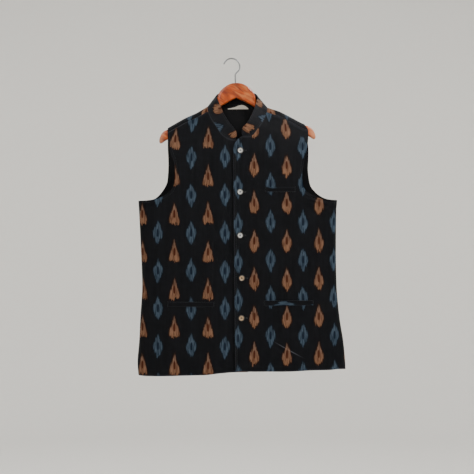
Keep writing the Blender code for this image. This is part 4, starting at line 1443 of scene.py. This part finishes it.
def ikat_cotton(name, brown_rows):
    """Handwoven cotton ikat, plain weave, warp dyed in bundles before weaving.

    The eye sees matt near-black cloth with thread streaks along its length, and brown and slate
    motifs with feathered, stepped ends.
    """
    material, tree = new_finish(name, Roughness=0.52, Specular_IOR_Level=0.08)
    place = add(tree, "UVMap", uv_map="UVMap")
    place = add(tree, "VectorMath", {0: place, "Scale": 1 / MM}, operation="SCALE")
    across, up, _ = add(tree, "SeparateXYZ", (place,)).node.outputs
    # warp threads are about 0.35 mm apart, drawn three times coarser so that they show
    threads = add(tree, "Mapping", {0: place, "Scale": (1 / 1.1, 1 / 40.0, 1.0)})
    streak = add(tree, "TexNoise", {"Vector": threads, "Scale": 1.0, "Detail": 2.0})
    slub = add(tree, "Mapping", {0: place, "Scale": (1 / 9.0, 1 / 160.0, 1.0)})
    slub = add(tree, "TexNoise", {"Vector": slub, "Scale": 1.0, "Detail": 1.0})
    streak = add(tree, "Math", (streak, slub), operation="MULTIPLY")
    streak = add(tree, "MapRange", (streak, 0.12, 0.42, 0.0, 1.0))
    colour = add(tree, "Mix", {0: streak, 6: linear("#020305"), 7: linear("#090A0E")}, **COLOURS)
    faded = add(tree, "TexNoise", {"Vector": place, "Scale": 1 / 14.0, "Detail": 3.0})
    faded = add(tree, "MapRange", (faded, 0.45, 0.75, 0.0, 0.3))
    colour = add(tree, "Mix", {0: faded, 6: colour, 7: linear("#101217")}, **COLOURS)
    # each bundle of two or three millimetres took up the dye differently
    dye_place = add(tree, "Mapping", {0: place, "Scale": (1 / 2.2, 1 / 26.0, 1.0)})
    taken_up = add(tree, "TexNoise", {"Vector": dye_place, "Scale": 1.0, "Detail": 2.0})
    taken_up = add(tree, "MapRange", (taken_up, 0.36, 0.62, 0.0, 1.0))
    # painted highlight on the edges, the hem, the collar and the ridges of sharp creases, where they would
    # catch the light
    painted_sheen = add(tree, "Attribute", attribute_name="painted_highlight", out=2)
    ridge_place = add(tree, "Attribute", attribute_name="ridge", out=1)
    off_ridge, left, _ = add(tree, "SeparateXYZ", (ridge_place,)).node.outputs
    off_ridge = add(tree, "Math", (off_ridge,), operation="ABSOLUTE")
    on_ridge = add(tree, "MapRange", (off_ridge, 0.0, RIDGE_HALF, 1.0, 0.0))
    on_ridge = add(tree, "Math", (on_ridge, left), operation="MULTIPLY")
    painted_sheen = add(tree, "Math", (painted_sheen, on_ridge), operation="MAXIMUM")
    painted_sheen = add(tree, "Math", (painted_sheen, 0.6), operation="MULTIPLY")
    colour = add(tree, "Mix", {0: painted_sheen, 6: colour, 7: linear("#4A4A50")}, **COLOURS)
    for shift, rows, (halo, (low_dyes, high_dyes), slit) in (
        (0.0, brown_rows, BROWN_DYES),
        (0.5, BLUE_LEAF, BLUE_DYES),
    ):
        outer, body, thin, middle, height = motifs(tree, across, up, shift, rows)
        low = add(tree, "Mix", {0: taken_up, 6: linear(low_dyes[0]), 7: linear(low_dyes[1])}, **COLOURS)
        high = add(tree, "Mix", {0: taken_up, 6: linear(high_dyes[0]), 7: linear(high_dyes[1])}, **COLOURS)
        dyed = add(tree, "Mix", {0: height, 6: low, 7: high}, **COLOURS)
        thin = add(tree, "Math", (thin, 0.5), operation="MULTIPLY")
        dyed = add(tree, "Mix", {0: thin, 6: dyed, 7: linear(low_dyes[0])}, **COLOURS)
        colour = add(tree, "Mix", {0: outer, 6: colour, 7: linear(halo)}, **COLOURS)
        colour = add(tree, "Mix", {0: body, 6: colour, 7: dyed}, **COLOURS)
        colour = add(tree, "Mix", {0: middle, 6: colour, 7: linear(slit)}, **COLOURS)
    # the painted highlight is added over the motifs as well
    colour = add(tree, "Mix", {0: painted_sheen, 6: colour, 7: colour}, blend_type="ADD", **COLOURS)
    # plain weave
    warp = add(tree, "Math", (across, 2 * math.pi / WEAVE_STEP), operation="MULTIPLY")
    weft = add(tree, "Math", (up, 2 * math.pi / WEAVE_STEP), operation="MULTIPLY")
    warp = add(tree, "Math", (warp,), operation="SINE")
    weft = add(tree, "Math", (weft,), operation="SINE")
    weave = add(tree, "Math", (warp, weft), operation="MULTIPLY")
    weave = add(tree, "Math", (streak, 1.6, weave), operation="MULTIPLY_ADD")
    raised = add(tree, "Bump", {"Strength": 0.25, "Distance": 0.0003, "Height": weave})
    return finished(material, Base_Color=colour, Normal=raised)


def black_lining(name):
    """Acetate lining, satin woven: black with a low soft gloss, a little uneven where it creeps."""
    material, tree = new_finish(name, Roughness=0.6, Specular_IOR_Level=0.12)
    place = add(tree, "TexCoord", out=3)
    place = add(tree, "Mapping", {0: place, "Scale": (60.0, 60.0, 9.0)})
    creep = add(tree, "TexNoise", {"Vector": place, "Scale": 1.0, "Detail": 2.0})
    colour = add(tree, "Mix", {0: creep, 6: linear("#040406"), 7: linear("#0A0A0D")}, **COLOURS)
    raised = add(tree, "Bump", {"Strength": 0.5, "Distance": 0.0015, "Height": creep})
    return finished(material, Base_Color=colour, Normal=raised)


def sewing_cotton(name, code):
    """Spun thread, twisted from two plies: matt, a shade off the cloth."""
    material, tree = new_finish(name, Roughness=0.75)
    place = add(tree, "TexCoord", out=3)
    place = add(tree, "Mapping", {0: place, "Scale": (900.0, 900.0, 900.0)})
    ply = add(tree, "TexNoise", {"Vector": place, "Scale": 1.0})
    colour = add(tree, "Mix", {0: ply, 6: linear("#0B0B0D"), 7: linear(code)}, **COLOURS)
    return finished(material, Base_Color=colour)


def horn(name, pale, dark):
    """Turned and polished horn: a milky ground with soft streaks and a low gloss."""
    material, tree = new_finish(name, Roughness=0.3, IOR=1.55, Coat_Weight=0.25,
                                Coat_Roughness=0.15, Subsurface_Weight=0.05)
    place = add(tree, "TexCoord", out=3)
    place = add(tree, "Mapping", {0: place, "Scale": (420.0, 420.0, 120.0)})
    streaks = add(tree, "TexNoise", {"Vector": place, "Scale": 1.0, "Detail": 3.0, "Distortion": 0.6})
    streaks = add(tree, "MapRange", (streaks, 0.35, 0.65, 0.0, 1.0))
    colour = add(tree, "Mix", {0: streaks, 6: linear(pale), 7: linear(dark)}, **COLOURS)
    # darker towards the turned edge, and painted shade in the groove and over the dished middle
    turned = add(tree, "UVMap", uv_map="UVMap")
    radius = add(tree, "VectorMath", (turned,), out=1, operation="LENGTH")
    radius = add(tree, "Math", (radius, 1 / MM), operation="MULTIPLY")
    edge = add(tree, "MapRange", (radius, BUTTON_RADIUS - RIM_DARKENING[0], BUTTON_RADIUS - RIM_DARKENING[1],
                                   0.0, 1.0))
    dish_painted_shade = add(tree, "MapRange", (radius, 2.2, 3.4, 0.7, 0.0))
    groove_painted_shade = add(tree, "Math", (radius, GROOVE_RADIUS), operation="SUBTRACT")
    groove_painted_shade = add(tree, "Math", (groove_painted_shade,), operation="ABSOLUTE")
    groove_painted_shade = add(tree, "MapRange", (groove_painted_shade, 0.3, 1.1, 0.6, 0.0))
    darker_edge_and_painted_shade = add(tree, "Math", (edge, groove_painted_shade), operation="MAXIMUM")
    darker_edge_and_painted_shade = add(tree, "Math", (darker_edge_and_painted_shade, dish_painted_shade), operation="MAXIMUM")
    colour = add(tree, "Mix", {0: darker_edge_and_painted_shade, 6: colour, 7: linear("#14100C")}, **COLOURS)
    rough = add(tree, "MapRange", (streaks, 0.0, 1.0, 0.24, 0.38))
    rough = add(tree, "Math", (edge, 0.35, rough), operation="MULTIPLY_ADD")
    return finished(material, Base_Color=colour, Roughness=rough)


def woven_label(name):
    """Polyester satin tape: off-white, with fine ribs across it and a silky gloss."""
    material, tree = new_finish(name, Roughness=0.55, Sheen_Weight=0.2)
    place = add(tree, "UVMap", uv_map="UVMap")
    place = add(tree, "VectorMath", {0: place, "Scale": 1 / MM}, operation="SCALE")
    across, up, _ = add(tree, "SeparateXYZ", (place,)).node.outputs
    # ribs are about 0.3 mm apart, drawn at 0.9 mm so that they show
    rib = add(tree, "Math", (up, 2 * math.pi / 0.9), operation="MULTIPLY")
    rib = add(tree, "Math", (rib,), operation="SINE")
    soil = add(tree, "TexNoise", {"Vector": place, "Scale": 0.12, "Detail": 2.0})
    colour = add(tree, "Mix", {0: soil, 6: linear("#D9D3C7"), 7: linear("#BEB6A8")}, **COLOURS)
    raised = add(tree, "Bump", {"Strength": 0.4, "Distance": 0.0002, "Height": rib})
    return finished(material, Base_Color=colour, Normal=raised)


def varnished_wood(name):
    """Lotus wood, bandsawn, sanded and dipped in clear varnish.

    The eye sees orange-brown wood with darker grain along the arms, under a bright gloss.
    """
    material, tree = new_finish(name, IOR=1.5, Specular_IOR_Level=0.22, Coat_Weight=0.4,
                                Coat_Roughness=0.1)
    place = add(tree, "TexCoord", out=3)
    turned = (0.0, math.radians(GRAIN_SLANT), 0.0)
    place = add(tree, "Mapping", {0: place, "Rotation": turned})
    grain_place = add(tree, "Mapping", {0: place, "Scale": (14.0, 90.0, 120.0)})
    grain = add(tree, "TexNoise", {"Vector": grain_place, "Scale": 1.0, "Detail": 4.0, "Distortion": 1.4})
    band_place = add(tree, "Mapping", {0: place, "Scale": (13.0, 30.0, 42.0)})
    bands = add(tree, "TexNoise", {"Vector": band_place, "Scale": 1.0, "Detail": 2.0, "Distortion": 1.6})
    grain = add(tree, "MapRange", (grain, 0.42, 0.7, 0.0, 1.0))
    bands = add(tree, "MapRange", (bands, 0.35, 0.65, 0.0, 1.0))
    colour = add(tree, "Mix", {0: bands, 6: linear("#6E2404"), 7: linear("#B84C06")}, **COLOURS)
    dark = add(tree, "Math", (grain, 0.22), operation="MULTIPLY")
    colour = add(tree, "Mix", {0: dark, 6: colour, 7: linear("#3E160A")}, **COLOURS)
    # pale streaks along the grain: partly the wood's own lighter figure, partly painted highlight of the
    # gloss along the grain
    grain_highlight_place = add(tree, "Mapping", {0: place, "Location": (3.0, 1.0, 7.0),
                                         "Scale": (22.0, 60.0, 80.0)})
    streaks = add(tree, "TexNoise", {"Vector": grain_highlight_place, "Scale": 1.0, "Detail": 2.0,
                                     "Distortion": 1.0})
    streaks = add(tree, "MapRange", (streaks, 0.52, 0.72, 0.0, 0.5))
    colour = add(tree, "Mix", {0: streaks, 6: colour, 7: linear("#C07A44")}, **COLOURS)
    # painted highlight: paler towards the arms' ends, standing in for the glare on the tips
    out = add(tree, "SeparateXYZ", (add(tree, "TexCoord", out=3),))
    out = add(tree, "Math", (out,), operation="ABSOLUTE")
    painted_glare = add(tree, "MapRange", (out, *PAINTED_GLARE_ENDS, 0.0, 0.4))
    colour = add(tree, "Mix", {0: painted_glare, 6: colour, 7: linear("#C49A78")}, **COLOURS)
    rough = add(tree, "MapRange", (grain, 0.0, 1.0, 0.3, 0.46))
    raised = add(tree, "Bump", {"Strength": 0.15, "Distance": 0.0006, "Height": grain})
    return finished(material, Base_Color=colour, Roughness=rough, Normal=raised)


def zinc_steel(name):
    """Drawn steel wire, zinc plated: grey metal with a satin gloss, duller in patches."""
    material, tree = new_finish(name, Metallic=1.0)
    place = add(tree, "TexCoord", out=3)
    place = add(tree, "Mapping", {0: place, "Scale": (240.0, 240.0, 240.0)})
    dull = add(tree, "TexNoise", {"Vector": place, "Scale": 1.0, "Detail": 3.0})
    colour = add(tree, "Mix", {0: dull, 6: linear("#8E9092"), 7: linear("#6C6E70")}, **COLOURS)
    rough = add(tree, "MapRange", (dull, 0.3, 0.7, 0.26, 0.45))
    return finished(material, Base_Color=colour, Roughness=rough)


def matt_paint(name):
    """Studio paint: pale, warm and quite matt, with the faintest roller texture."""
    material, tree = new_finish(name, Roughness=0.9)
    place = add(tree, "TexCoord", out=3)
    roller = add(tree, "TexNoise", {"Vector": place, "Scale": 40.0, "Detail": 2.0})
    colour = add(tree, "Mix", {0: roller, 6: linear("#E9E7E2"), 7: linear("#E6E4DF")}, **COLOURS)
    return finished(material, Base_Color=colour)


# Room, light and camera

def make_room(finish):
    """A round studio sweep: the floor curves up into the wall."""
    deselect_all()
    bpy.ops.mesh.primitive_cylinder_add(vertices=96, radius=ROOM_RADIUS, depth=ROOM_HEIGHT,
                                        location=(0, 0, FLOOR + ROOM_HEIGHT / 2))
    room = bpy.context.object
    room.name = "studio_sweep"
    bpy.ops.object.transform_apply()
    bpy.ops.object.mode_set(mode="EDIT")
    bpy.ops.mesh.select_mode(type="FACE")
    bpy.ops.mesh.select_all(action="DESELECT")
    shape = bmesh.from_edit_mesh(room.data)
    for face in shape.faces:
        face.select_set(face.calc_center_median().z > FLOOR + ROOM_HEIGHT - 0.01)
    bmesh.update_edit_mesh(room.data)
    bpy.ops.mesh.delete(type="FACE")
    bpy.ops.mesh.select_mode(type="EDGE")
    shape = bmesh.from_edit_mesh(room.data)
    for edge in shape.edges:
        edge.select_set(all(vertex.co.z < FLOOR + 0.01 for vertex in edge.verts))
    bmesh.update_edit_mesh(room.data)
    bpy.ops.mesh.bevel(offset=SWEEP, segments=14)
    bpy.ops.mesh.select_all(action="SELECT")
    bpy.ops.mesh.normals_make_consistent(inside=True)
    bpy.ops.object.mode_set(mode="OBJECT")
    bpy.ops.object.shade_smooth_by_angle(angle=math.radians(CLOTH_CRISP))
    room.data.materials.append(finish)


def make_lights():
    for name, place, size, power in LIGHTS:
        light = bpy.data.lights.new(name, "AREA")
        light.size = size
        light.energy = power
        lamp = bpy.data.objects.new(name, light)
        lamp.location = place
        aim = Vector(LIT_MIDDLE) - Vector(place)
        lamp.rotation_euler = aim.to_track_quat("-Z", "Y").to_euler()
        bpy.context.scene.collection.objects.link(lamp)
    world = bpy.data.worlds.new("soft_daylight")
    world.use_nodes = True
    sky = world.node_tree.nodes["Background"]
    sky.inputs["Color"].default_value = linear("#EEF0F2")
    sky.inputs["Strength"].default_value = WORLD_STRENGTH
    bpy.context.scene.world = world


def make_camera():
    camera = bpy.data.cameras.new("camera")
    camera.lens = LENS
    camera.sensor_width = 36.0
    stand = bpy.data.objects.new("camera", camera)
    stand.location = CAMERA
    stand.rotation_euler = (math.radians(90), 0, 0)
    bpy.context.scene.collection.objects.link(stand)
    bpy.context.scene.camera = stand


def main():
    lining = black_lining("black_satin_lining")
    drop_ikat = ikat_cotton("ikat_cotton_drops", DROP)
    leaf_ikat = ikat_cotton("ikat_cotton_leaves", BROWN_LEAF)
    ikat = {"front_right": drop_ikat, "front_left": leaf_ikat, "back": leaf_ikat, "collar": drop_ikat}

    right = front_panel("front_right_cloth", 1, HEM_RIGHT, ARMHOLE_RIGHT, NECK_RIGHT, RIGHT_TOP_EDGE,
                        RIGHT_FRONT_EDGE, under_point, printed("front_right"),
                        [ikat["front_right"], lining], RIGHT_CREASES)
    left = front_panel("front_left_cloth", 2, HEM_LEFT, ARMHOLE_LEFT, NECK_LEFT, LEFT_TOP_CORNER,
                       LEFT_FRONT_EDGE, rolled_front, printed("front_left"),
                       [ikat["front_left"], lining], LEFT_CREASES)
    back = make_back(printed("back"), [ikat["back"], lining])
    collar = make_collar([ikat["collar"], lining])
    for piece, node in ((right, "front_right"), (left, "front_left"), (back, "back"),
                        (collar, "collar")):
        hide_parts(node)

    for name, (front, *_) in WELTS.items():
        creases = LEFT_CREASES if front == "front_left" else RIGHT_CREASES
        welt = make_welt(name, creases, cross_printed(name), [ikat[front]])
        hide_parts(name)

    back_lining = make_back_lining(lambda across, up: (across, up), lining)
    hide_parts("back_lining")
    label = make_label(woven_label("woven_satin_label"))
    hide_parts("neck_label")

    make_sewing(sewing_cotton("black_sewing_cotton", "#222328"))
    make_buttonholes(sewing_cotton("buttonhole_cotton", "#111116"))
    silver = horn("pale_horn", "#D8D6D0", "#A9A7A4")
    tan = horn("tan_horn", "#C2A27C", "#8E6E4E")
    make_buttons([silver, silver, silver, tan, tan])
    make_button_thread(sewing_cotton("button_cotton", "#3A3A40"))
    make_hanger(varnished_wood("varnished_lotus_wood"))
    make_hook(zinc_steel("zinc_plated_steel"))

    make_room(matt_paint("studio_paint"))
    make_lights()
    make_camera()


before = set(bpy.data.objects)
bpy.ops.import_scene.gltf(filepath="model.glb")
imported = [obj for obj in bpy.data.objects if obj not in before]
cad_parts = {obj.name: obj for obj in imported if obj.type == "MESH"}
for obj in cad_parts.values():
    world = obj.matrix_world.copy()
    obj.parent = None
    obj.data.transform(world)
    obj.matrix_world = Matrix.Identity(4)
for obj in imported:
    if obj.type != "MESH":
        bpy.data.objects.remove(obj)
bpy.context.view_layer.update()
main()
